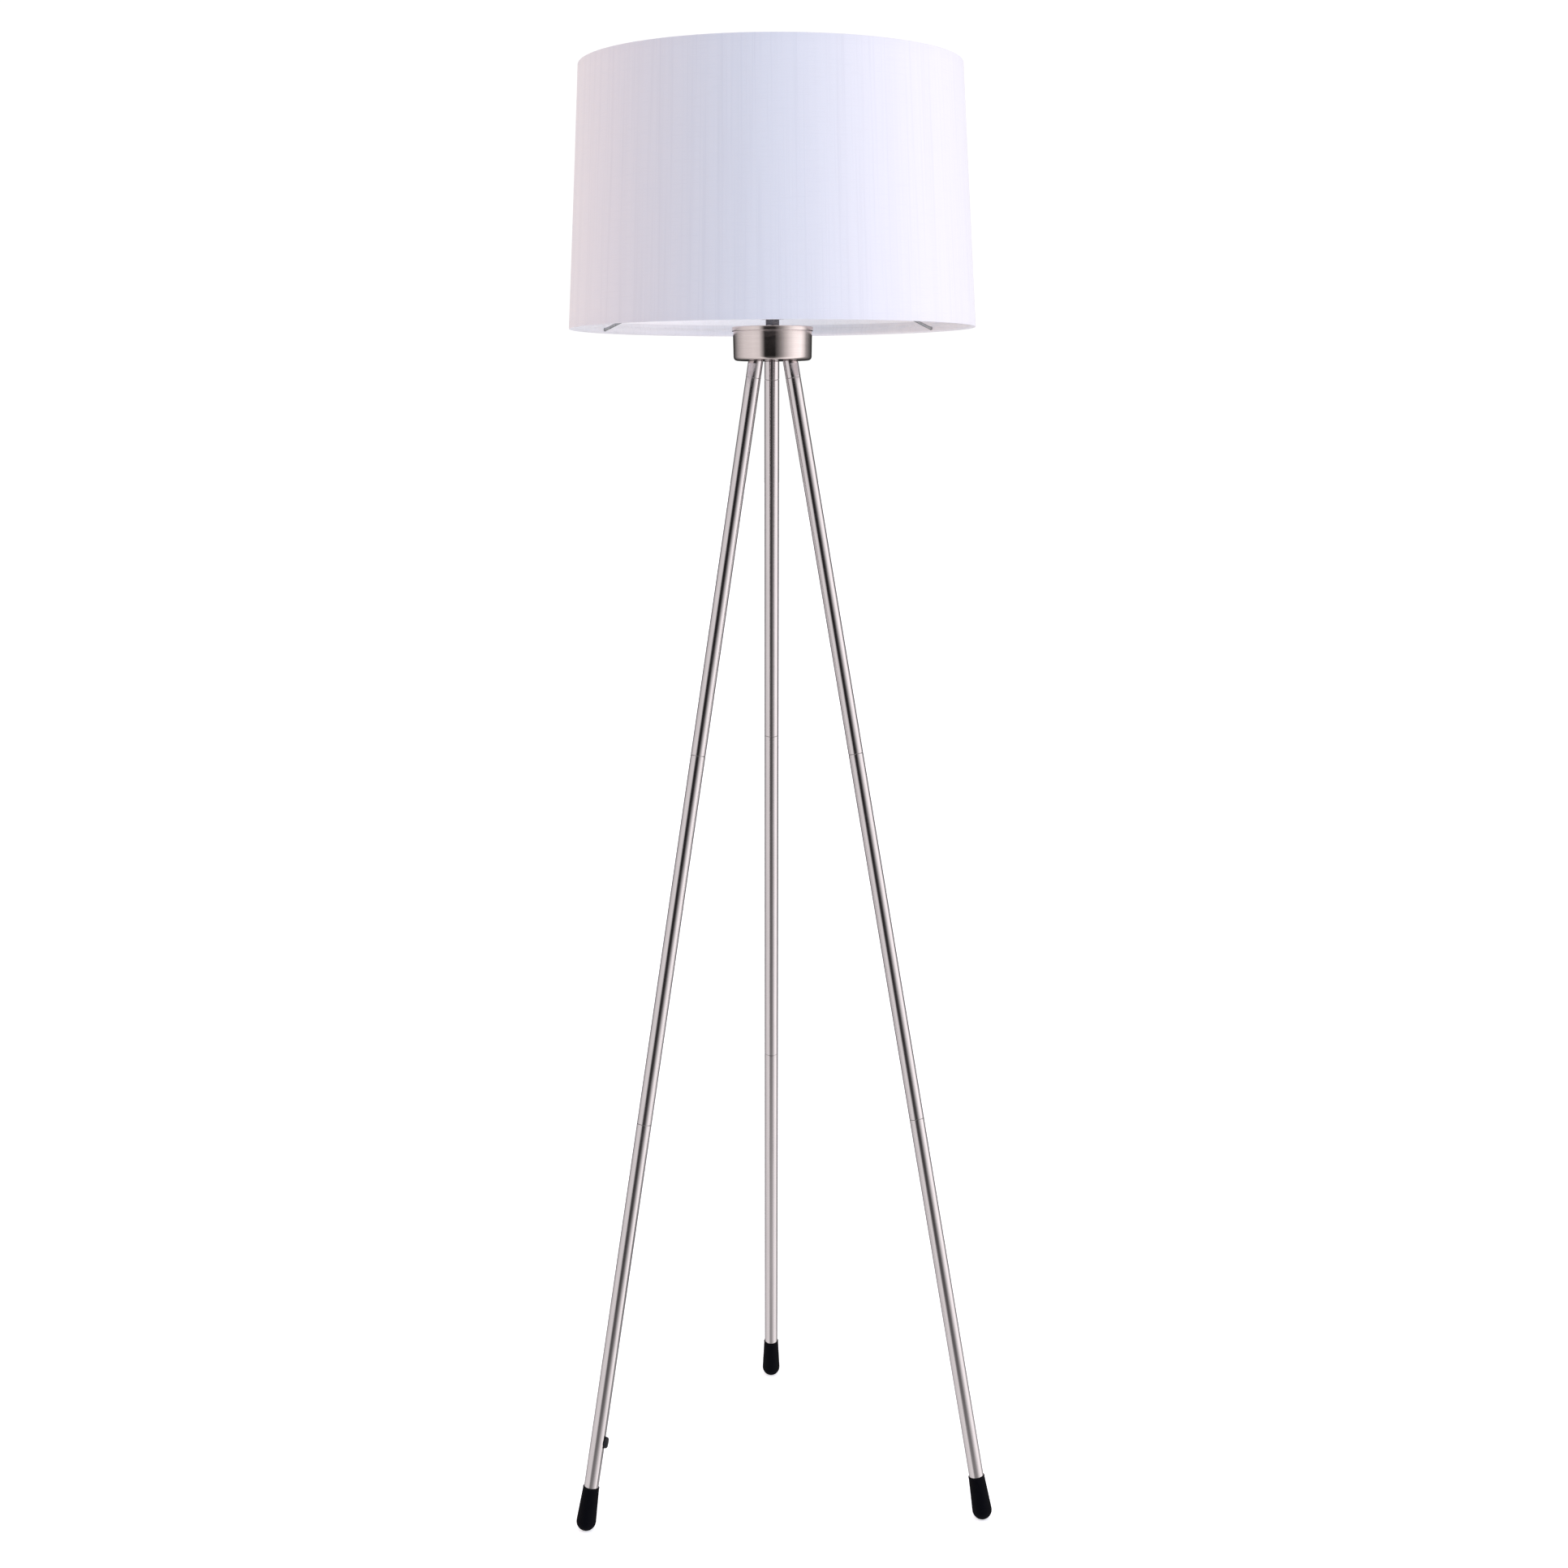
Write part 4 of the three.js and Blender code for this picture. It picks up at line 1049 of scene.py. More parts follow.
cap_low, cap_high = axis_reach("lampholder_cap")
cap_corners = [
    (BUSH_BORE, cap_low, 0.0003),
    (BODY_RADIUS, cap_low, 0.0065),
    (BODY_RADIUS, cap_high, 0.0002),
    (BODY_RADIUS - CAP_WALL, cap_high, 0.0002),
    (BODY_RADIUS - CAP_WALL, cap_low + CAP_WALL, 0.0050),
    (BUSH_BORE, cap_low + CAP_WALL, 0.0003),
]
holder_cap = lathe_piece("holder_cap", cap_corners, HOLDER_COLUMNS, ON_AXIS, grain_around, steps=9)
fit(holder_cap, BRIGHT_ZINC, "stand", "bright_steel", "lampholder_cap")


def body_shell():
    """Body profile with a screw thread on its neck: there the radius dips by a smooth wave that moves one
    pitch up for each turn."""
    low, high = axis_reach("lampholder_body")
    fitter_low = axis_reach("fitter_ring")[0]
    shoulder_top = fitter_low - FERRULE_GAP
    shoulder_low = shoulder_top - SHOULDER_HEIGHT
    lower = [
        (BODY_BORE, low, 0.0002),
        (BODY_RADIUS, low, 0.0003),
        (BODY_RADIUS, shoulder_low - 0.003, 0.0012),
        (SHOULDER_RADIUS, shoulder_low, 0.0005),
        (SHOULDER_RADIUS, shoulder_top, 0.0004),
        (NECK_RADIUS, shoulder_top, 0.0003),
    ]
    below, below_edges = rounded(lower, steps=5)
    neck_low = shoulder_top + 0.001
    neck = np.stack([np.full(NECK_ROWS, NECK_RADIUS), np.linspace(neck_low, high - 0.0010, NECK_ROWS)], 1)
    rim = np.array([[NECK_RADIUS - 0.0006, high - 0.0002], [NECK_RADIUS - 0.0012, high]])
    rim = np.vstack([rim, [[BODY_BORE + 0.0003, high], [BODY_BORE, high - 0.0003]]])
    profile = np.vstack([below, neck, rim])
    points = turned(profile, HOLDER_COLUMNS)
    wave = 0.5 - 0.5 * np.cos(2 * np.pi * profile[:, 1:] / NECK_PITCH - even_angles(HOLDER_COLUMNS))
    threaded = np.zeros(len(profile))
    threaded[len(below) : len(below) + NECK_ROWS] = np.sin(np.linspace(0, np.pi, NECK_ROWS)) ** 0.5
    scale = 1 - NECK_DEPTH * wave * threaded[:, None] / NECK_RADIUS
    points[:, :, :2] *= scale[:, :, None]
    edges = np.concatenate([below_edges, np.zeros(len(neck)), [0.6, 0.6, 0.0, 0.0]])
    return points, edges, True


SWITCH_HEIGHT = 1.331
SWITCH_AZIMUTH = math.radians(330)
SWITCH_FRAME = (
    Matrix.Translation((AXIS.x, AXIS.y, SWITCH_HEIGHT))
    @ Matrix.Rotation(SWITCH_AZIMUTH, 4, "Z")
    @ Matrix.Rotation(math.pi / 2, 4, "Y")
)
BOSS_COLUMNS = 64
STEM_RADIUS = 0.003
STEM_HOLE = 0.0034
STEM_HOLE_REACH = (0.012, 0.030)
BOSS_RADIUS = 0.0055
BOSS_START = 0.0172
BOSS_END = 0.024

holder_body = make_piece("holder_body", [body_shell()], ON_AXIS, grain_around)
drill(holder_body, *bar_points(STEM_HOLE, *STEM_HOLE_REACH, SWITCH_FRAME))
fit(holder_body, SATIN_BLACK, "stand", "black_plastic", "lampholder_body")
boss_corners = [
    (STEM_HOLE, BOSS_START, 0.0002),
    (BOSS_RADIUS, BOSS_START, 0.0002),
    (BOSS_RADIUS, BOSS_END, 0.0006),
    (STEM_HOLE, BOSS_END, 0.0003),
]
boss = lathe_piece("switch_boss", boss_corners, BOSS_COLUMNS, SWITCH_FRAME)
fit(boss, SATIN_BLACK, "stand", "black_plastic")


def clamp_shell():
    """A ring whose outside waves in once a flute. The wave fades to nothing at the bore as the third power of
    the way out from it."""
    bottom, top = axis_reach("shade_clamp_ring")
    bore = NECK_RADIUS + CLAMP_GAP
    corners = [
        (bore, bottom, CLAMP_FILLET / 3),
        (CLAMP_RADIUS, bottom, CLAMP_FILLET),
        (CLAMP_RADIUS, top, CLAMP_FILLET),
        (bore, top, CLAMP_FILLET / 3),
    ]
    profile, edges = rounded(corners, steps=6)
    points = turned(profile, CLAMP_COLUMNS)
    dip = CLAMP_FLUTE_DEPTH * (0.5 - 0.5 * np.cos(even_angles(CLAMP_COLUMNS) * CLAMP_FLUTES))
    share = np.clip((profile[:, :1] - bore) / (CLAMP_RADIUS - bore), 0, 1) ** 3
    points[:, :, :2] *= (1 - share * dip / CLAMP_RADIUS)[:, :, None]
    return points, edges, True


clamp = make_piece("clamp_ring", [clamp_shell()], ON_AXIS, grain_around)
fit(clamp, SATIN_BLACK, "stand", "black_plastic", "shade_clamp_ring")

dress("switch_block", INSULATOR)
dress("terminal_disc", INSULATOR)
dress("centre_contact", BRASS)


def lamp_wave(height, fade, columns):
    """Rolled lamp thread: how far the wall stands out at each height and angle, a cosine that climbs one
    pitch for each turn, times a fade at both ends."""
    return THREAD_DEPTH * np.cos(2 * np.pi * height / THREAD_PITCH - even_angles(columns)) * fade


def shell_shell():
    """Screw shell: a thin brass cup with a hole in its base and a thread rolled into its wall, the same wave
    inside and out."""
    low, high = axis_reach("screw_shell")
    wall = np.linspace(low + 0.002, high - 0.0008, SHELL_ROWS)
    outer = np.stack([np.full(SHELL_ROWS, SHELL_RADIUS), wall], 1)
    base = [[0.009, low], [0.0125, low], [0.0134, low + 0.0005]]
    lip_radius = SHELL_RADIUS + 0.0006
    lip = [[lip_radius, high - 0.0002], [lip_radius, high], [SHELL_RADIUS + 0.0001, high]]
    inner = outer[::-1] - np.array([SHELL_SHEET, 0.0])
    inside = [[0.0130, low + 0.0011], [0.0124, low + SHELL_SHEET], [0.009, low + SHELL_SHEET]]
    profile = np.vstack([base, outer, lip, inner, inside])
    points = turned(profile, SHELL_COLUMNS)
    height = profile[:, 1:]
    fade = np.clip(np.minimum(height - low - 0.002, high - 0.001 - height) / 0.0015, 0, 1)
    points[:, :, :2] *= (1 + lamp_wave(height, fade, SHELL_COLUMNS) / profile[:, :1])[:, :, None]
    return points, np.zeros(len(profile)), True


screw_shell = make_piece("screw_shell_brass", [shell_shell()], ON_AXIS, grain_around)
fit(screw_shell, BRASS, "stand", "brass", "screw_shell")

# ---- Rotary switch ----
# A brass stem comes out of the body through its boss and carries a small fluted black knob with a domed face.

KNOB_RADIUS = 0.008
KNOB_FLUTES = 10
KNOB_FLUTE_DEPTH = 0.0014
KNOB_START = 0.031
KNOB_END = 0.045
KNOB_FACE_RADIUS = 0.0055
KNOB_DOME = 0.0012
KNOB_COLUMNS = 160
STEM_START = 0.005
STEM_END = 0.038
STEM_COLUMNS = 48

stem_corners = [
    (0, STEM_START),
    (STEM_RADIUS, STEM_START, 0.0002),
    (STEM_RADIUS, STEM_END, 0.0004),
    (0, STEM_END),
]
stem = lathe_piece("stem_brass", stem_corners, STEM_COLUMNS, SWITCH_FRAME, closed=False)
fit(stem, BRASS, "switch", "brass", "switch_stem")


def knob_shell():
    """Knob profile with a blind hole for the stem and a domed face. Its finger flutes fade out to the face."""
    hole = STEM_RADIUS + 0.0001
    shoulder = KNOB_END - KNOB_DOME
    rise = np.linspace(0.25, 1.45, 9)
    dome = np.stack([KNOB_RADIUS * np.cos(rise), shoulder + KNOB_DOME * np.sin(rise)], 1)
    corners = [
        (0, STEM_END + 0.0004),
        (hole, STEM_END + 0.0004, 0.0002),
        (hole, KNOB_START, 0.0002),
        (KNOB_RADIUS, KNOB_START, 0.0006),
        (KNOB_RADIUS, shoulder, 0.0004),
    ]
    profile, edges = rounded(corners, closed=False)
    profile = np.vstack([profile, dome, [[0, KNOB_END]]])
    points = turned(profile, KNOB_COLUMNS)
    dip = KNOB_FLUTE_DEPTH * (0.5 - 0.5 * np.cos(even_angles(KNOB_COLUMNS) * KNOB_FLUTES))
    share = np.clip((profile[:, :1] - KNOB_FACE_RADIUS) / (KNOB_RADIUS - KNOB_FACE_RADIUS), 0, 1)
    points[:, :, :2] *= (1 - share * dip / KNOB_RADIUS)[:, :, None]
    return points, np.concatenate([edges, np.zeros(len(dome) + 1)]), False


knob = make_piece("knob_black", [knob_shell()], SWITCH_FRAME)
fit(knob, SATIN_BLACK, "switch", "black_plastic", "switch_knob")

# ---- Bulb ----
# A bright plated screw cap with a black glass insulator and a solder pip, and an opal globe crimped into it.

BULB_NECK = 0.0126
BULB_NECK_LENGTH = 0.006
BULB_HEAD = 0.030
BULB_WALL = 0.0008
BULB_THREAD = 0.0129
BULB_THREAD_START = 0.0055
BULB_THREAD_END = 0.0205
BULB_THREAD_ROWS = 60
BULB_COLUMNS = 96
INSULATOR_COLUMNS = 64
PIP_COLUMNS = 48
GLOBE_STEPS = 20

OPAL = layered_finish(
    "opal_globe",
    (0.895, 0.885, 0.865, 1.0),
    (0.91, 0.90, 0.885, 1.0),
    rough=(0.20, 0.28),
    grain=(300.0, 0.000002),
    wear=(0.0, (0.9, 0.9, 0.9, 1.0), 0.3),
    marks=(60.0, 0.6, 0.05),
    dust=0.04,
    own_grain=False,
)
cap_low, cap_high = axis_reach("bulb_cap")


def bulb_cap_shell():
    """The bulb's screw cap: a flat base, the threaded wall and a rim closed over the globe's neck. The thread
    fades out over four tenths of a pitch at both ends."""
    first, last = cap_low + BULB_THREAD_START, cap_low + BULB_THREAD_END
    wall = np.linspace(first, cap_high - 0.0005, BULB_THREAD_ROWS)
    wall = np.stack([np.full(BULB_THREAD_ROWS, BULB_THREAD), wall], 1)
    base = [[0, cap_low + 0.0048], [0.0105, cap_low + 0.0048]]
    rim = [[BULB_THREAD - 0.0002, cap_high - 0.0001], [BULB_NECK - 0.0006, cap_high], [0, cap_high]]
    profile = np.vstack([base, wall, rim])
    points = turned(profile, BULB_COLUMNS)
    radius, height = profile[:, :1], profile[:, 1:]
    fade = np.clip(np.minimum(height - first, last - height) / (0.4 * THREAD_PITCH), 0, 1)
    on_wall = np.abs(radius - BULB_THREAD) < 0.0003
    wave = lamp_wave(height, fade * on_wall, BULB_COLUMNS)
    points[:, :, :2] *= (1 + wave / np.maximum(radius, 1e-9))[:, :, None]
    return points, np.zeros(len(profile)), False


insulator_corners = [
    (0, cap_low + 0.0019),
    (0.0052, cap_low + 0.0019, 0.0003),
    (0.0098, cap_low + 0.0044, 0.0004),
    (0.0098, cap_low + 0.0052, 0.0002),
    (0, cap_low + 0.0052),
]
pip_corners = [
    (0, cap_low),
    (0.0036, cap_low, 0.0012),
    (0.0047, cap_low + 0.0021, 0.0003),
    (0, cap_low + 0.0021),
]
bulb_thread = make_piece("bulb_screw", [bulb_cap_shell()], ON_AXIS, grain_around)
fit(bulb_thread, BRIGHT_ZINC, "stand", "bright_steel", "bulb_cap")
bulb_glass = lathe_piece("bulb_insulator", insulator_corners, INSULATOR_COLUMNS, ON_AXIS, closed=False)
fit(bulb_glass, SATIN_BLACK, "stand", "black_plastic")
bulb_pip = lathe_piece("bulb_contact", pip_corners, PIP_COLUMNS, ON_AXIS, closed=False)
fit(bulb_pip, BRIGHT_ZINC, "stand", "bright_steel")


def globe_profile(inset, steps):
    """Pear outline: a straight neck, a smooth-step ease out to the head, then most of a circle."""
    low, high = axis_reach("bulb_globe")
    head_z = high - BULB_HEAD
    r_neck, r_head = BULB_NECK - inset, BULB_HEAD - inset
    t = np.linspace(0, 1, steps)
    shoulder_r, shoulder_z = r_head * math.cos(math.pi / 6), head_z - r_head * math.sin(math.pi / 6)
    ease = t * t * (3 - 2 * t)
    neck_top = low + BULB_NECK_LENGTH
    pear = np.stack([r_neck + (shoulder_r - r_neck) * ease, neck_top + (shoulder_z - neck_top) * t], 1)
    blend = t[:, None] ** 4
    sphere_z = np.clip(pear[:, 1] - head_z, -r_head, r_head)
    sphere = np.stack([np.sqrt(np.maximum(r_head**2 - sphere_z**2, 0)), pear[:, 1]], 1)
    pear = pear * (1 - blend) + sphere * blend
    head = circle_arc((0, head_z), r_head, -28, 90, 2 * steps)
    head[-1, 0] = 0.0
    return np.vstack([[[r_neck, low]], pear, head])


globe_outside = globe_profile(0.0, GLOBE_STEPS)
globe_inside = globe_profile(BULB_WALL, GLOBE_STEPS)[::-1]
globe_rows = turned(np.vstack([globe_inside, globe_outside]), BULB_COLUMNS)
globe = make_piece("bulb_opal", [(globe_rows, np.zeros(len(globe_rows)), False)], ON_AXIS)
fit(globe, OPAL, "stand", "opal_globe", "bulb_globe")

# ---- Shade frame ----
# Two wire rings stiffen the shade's edges. Three straight wire arms are welded to the lower ring and climb to
# a flat pressed fitter ring, which the clamp ring holds on the lampholder. All of it is zinc plated.

SHADE_WALL = 0.0016
RING_INSET = 0.004
RING_WIRE = 0.0015
RING_GAP = 0.0004
ARM_WIRE = 0.0016
ARM_AZIMUTHS = (30, 150, 270)
FITTER_BORE = 0.0213
FITTER_RADIUS = 0.0282
FITTER_COLUMNS = 144
RING_COLUMNS = 240
ARM_COLUMNS = 28
WELD_SWELL = 0.0007
WELD_REACH = 0.002

WIRE_ZINC = layered_finish(
    "zinc_wire",
    (0.30, 0.305, 0.32, 1.0),
    (0.46, 0.465, 0.48, 1.0),
    rough=(0.26, 0.42),
    grain=(1100.0, 0.00002),
    wear=(0.8, (0.62, 0.62, 0.64, 1.0), 0.25),
    marks=(90.0, 0.9, 0.15),
    dust=0.3,
    metallic=1.0,
)

shade_low, shade_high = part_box("shade_drum")
SHADE_HEIGHT = shade_high.z - shade_low.z
SHADE_RADIUS = (shade_high.x - shade_low.x) / 2
SHADE_TOP_RADIUS = SHADE_RADIUS - 0.015


def shade_radius(height):
    """Outer radius of the shade at a height above its lower edge: a straight cone."""
    return SHADE_RADIUS + (SHADE_TOP_RADIUS - SHADE_RADIUS) * height / SHADE_HEIGHT


def wire_radius(height):
    """Radius of a frame ring's centre line at a height."""
    return shade_radius(height) - SHADE_WALL - RING_GAP - RING_WIRE


def ring_shell(height):
    """A round wire bent to a ring: a small circle carried round a large one."""
    section = circle_arc((wire_radius(height), shade_low.z + height), RING_WIRE, -90, 250, 18)
    return turned(section, RING_COLUMNS), np.zeros(len(section)), True


for node, height in (("shade_bottom_ring", RING_INSET), ("shade_top_ring", SHADE_HEIGHT - RING_INSET)):
    ring = make_piece(node.replace("shade", "wire"), [ring_shell(height)], ON_AXIS)
    fit(ring, WIRE_ZINC, "shade", "zinc_wire", node)


def arm_shell():
    """A round wire carried along a bent line in the plane y = 0: at each point a circle stands square to the
    line. The wire swells a little at both ends, where its weld is."""
    fitter_low, fitter_high = axis_reach("fitter_ring")
    fitter_z = (fitter_low + fitter_high) / 2
    start, foot_z = wire_radius(RING_INSET) - RING_WIRE, shade_low.z + RING_INSET
    corners = [
        (start, foot_z),
        (start - 0.0054, foot_z + 0.0016, 0.004),
        (0.042, fitter_z - 0.0036, 0.006),
        (FITTER_RADIUS + 0.006, fitter_z - 0.001, 0.003),
        (FITTER_RADIUS - 0.0006, fitter_z),
    ]
    line, _ = rounded(corners, steps=10, closed=False)
    gap = np.linalg.norm(np.diff(line, axis=0), axis=1)
    line = line[np.concatenate([[True], gap > 1e-7])]
    travelled = np.concatenate([[0], np.cumsum(np.linalg.norm(np.diff(line, axis=0), axis=1))])
    by_weld = np.array([0.001, 0.002, 0.003])
    even = np.concatenate([travelled, np.linspace(0, travelled[-1], 60), by_weld, travelled[-1] - by_weld])
    even = np.unique(even)
    line = np.stack([np.interp(even, travelled, line[:, 0]), np.interp(even, travelled, line[:, 1])], 1)
    slope = np.gradient(line, axis=0)
    slope /= np.linalg.norm(slope, axis=1)[:, None]
    from_end = np.minimum(even, even[-1] - even)
    thick = ARM_WIRE + WELD_SWELL * np.exp(-((from_end / WELD_REACH) ** 2))
    thick[[0, -1]] *= 0.7
    angle = even_angles(ARM_COLUMNS)
    across = thick[:, None] * np.cos(angle)
    level = thick[:, None] * np.sin(angle)
    x = line[:, :1] + slope[:, 1:] * across
    z = line[:, 1:] - slope[:, :1] * across
    points = np.stack([x, level, z], 2)
    ends = np.repeat(line[[0, -1], None, :], ARM_COLUMNS, 1)
    caps = np.stack([ends[:, :, 0], 0 * ends[:, :, 0], ends[:, :, 1]], 2)
    points = np.concatenate([caps[:1], points, caps[1:]])
    return points, np.zeros(len(points)), False


for number, azimuth in enumerate(ARM_AZIMUTHS, 1):
    turned_to = ON_AXIS @ Matrix.Rotation(math.radians(azimuth), 4, "Z")
    arm = make_piece(f"arm_wire_{number}", [arm_shell()], turned_to)
    fit(arm, WIRE_ZINC, "shade", "zinc_wire", f"spider_arm_{number}")

bottom, top = axis_reach("fitter_ring")
fitter_corners = [
    (FITTER_BORE, bottom, 0.0003),
    (FITTER_RADIUS, bottom, 0.0004),
    (FITTER_RADIUS, top, 0.0004),
    (FITTER_BORE, top, 0.0003),
]
fitter = lathe_piece("fitter_disc", fitter_corners, FITTER_COLUMNS, ON_AXIS, grain_around)
fit(fitter, WIRE_ZINC, "shade", "zinc_wire", "fitter_ring")

# ---- Shade ----
# White slub-woven cloth is laminated round a stiff clear sheet and lapped in one seam at the back. Its edges
# are rolled over the wire rings and stuck down inside, so a fine line shows along each edge. Painted shade
# darkens the cloth in a band over each ring.

CLOTH_THICKNESS = 0.0005
CLOTH_HALF = CLOTH_THICKNESS / 2
LINER_MARGIN = 0.0009
LINER_GAP = 0.00005
SEAM_AZIMUTH = 98.0
SEAM_WIDTH = 0.012
SEAM_EDGE = 0.0009
SEAM_RISE = 0.9 * CLOTH_THICKNESS
SHADE_COLUMNS = 288
EDGE_MARGIN = 0.0006
PRESS_REACH = 0.0022
WAVE_INSET = 0.00013
WALL_INSET = 0.00012
THREADS_AROUND = 2700
THREAD_RISE = 0.0005
YARN_SPREAD = 0.05
CLOTH_WHITE = (0.89, 0.89, 0.89, 1.0)
CLOTH_SHADE = (0.845, 0.845, 0.85, 1.0)
# Painted shade: the cloth's colour in the band over each wire ring.
RING_BAND_PAINTED_SHADE = (0.80, 0.79, 0.80, 1.0)
# Painted light: the liner glows faintly, as if light from outside came in through the cloth. The lamp is not
# lit.
LINER_PAINTED_GLOW = 0.14

# The rolled edge as it lies at the lower ring: how far in from the outside, how high, and how round.
ROLLED_EDGE = (
    (0.00190, 0.0125, 0.0),
    (0.00190, 0.0088, 0.0014),
    (0.00560, 0.0062, 0.0017),
    (0.00545, 0.0019, 0.0017),
    (0.00025, 0.00025, 0.0010),
)


def cloth_line():
    """Middle line of the cloth in a section of the shade, from one raw edge inside, round the lower ring, up
    the outside, and round the upper ring to the other raw edge. Returns inset and height."""
    low = [(inset, height, fillet) for inset, height, fillet in ROLLED_EDGE]
    high = [(inset, SHADE_HEIGHT - height, fillet) for inset, height, fillet in ROLLED_EDGE[::-1]]
    line, _ = rounded(low + high, steps=9, closed=False)
    keep = np.concatenate([[True], np.linalg.norm(np.diff(line, axis=0), axis=1) > 2e-5])
    line = line[keep]
    longest = int(np.argmax(np.diff(line[:, 1])))
    rise = np.linspace(0, 1, 26)[1:-1, None]
    wall = line[longest] * (1 - rise) + line[longest + 1] * rise
    return np.vstack([line[: longest + 1], wall, line[longest + 1 :]])


def cloth_angles():
    """Angles of the columns: even round the shade, with close pairs at the two edges of the seam."""
    seam = math.radians(SEAM_AZIMUTH)
    width = SEAM_WIDTH / SHADE_RADIUS
    steps = (-SEAM_EDGE, 0.0, SEAM_EDGE)
    edges = [seam + side + step for side in (-width / 2, width / 2) for step in steps]
    return np.unique(np.concatenate([even_angles(SHADE_COLUMNS), edges]))


def cloth_shell():
    """The middle line pushed out to both sides by half the cloth's thickness and carried round the axis. The
    lapped seam stands one thickness proud, and slow waves of a tenth of a millimetre run round the wall."""
    line = cloth_line()
    angle = cloth_angles()
    across = np.stack([shade_radius(line[:, 1]) - line[:, 0], line[:, 1]], 1)
    slope = np.gradient(across, axis=0)
    slope /= np.linalg.norm(slope, axis=1)[:, None]
    right = np.stack([slope[:, 1], -slope[:, 0]], 1) * CLOTH_HALF
    profile = np.vstack([across + right, (across - right)[::-1]])
    seam = math.radians(SEAM_AZIMUTH)
    half = SEAM_WIDTH / SHADE_RADIUS / 2
    lap = np.clip((half - np.abs(angle - seam)) / SEAM_EDGE + 0.5, 0, 1)
    height = profile[:, 1]
    outside = (height > EDGE_MARGIN) & (height < SHADE_HEIGHT - EDGE_MARGIN)
    outside[: len(line)] &= line[:, 0] < 0.0009
    outside[len(line) :] = False
    waves = 0.00006 * np.sin(7 * angle + 0.6) + 0.00004 * np.sin(19 * angle + 2.1)
    waves += 0.00003 * np.sin(43 * angle)
    bulge = np.sin(np.pi * np.clip(height / SHADE_HEIGHT, 0, 1))[:, None]
    ring_press = np.exp(-(((height - RING_INSET) / PRESS_REACH) ** 2))
    ring_press += np.exp(-(((height - SHADE_HEIGHT + RING_INSET) / PRESS_REACH) ** 2))
    r = profile[:, :1] + lap * outside[:, None] * SEAM_RISE + (waves - WAVE_INSET) * bulge
    r = r - WALL_INSET * (outside * (1 - ring_press))[:, None]
    return swept(r, profile[:, 1:] + shade_low.z, angle), np.clip(ring_press, 0, 1) * outside


def wrap_cloth(piece, rows, angle):
    """The cloth's own map: metres round the shade, and metres along its section, with no jump at the last
    column."""
    columns = len(angle)
    line = cloth_line()
    steps = np.linalg.norm(np.diff(line, axis=0), axis=1)
    run = np.concatenate([[0], np.cumsum(steps)])
    along = np.concatenate([run, run[::-1]])
    around = np.append(angle, 2 * np.pi) * SHADE_RADIUS
    i, j = np.meshgrid(np.arange(rows), np.arange(columns), indexing="ij")
    n = (i + 1) % rows
    u = np.stack([around[j], around[j + 1], around[j + 1], around[j]], 2)
    v = np.stack([along[i], along[i], along[n], along[n]], 2)
    layer = piece.data.uv_layers.new(name="cloth")
    layer.data.foreach_set("uv", np.stack([u, v], 3).ravel())


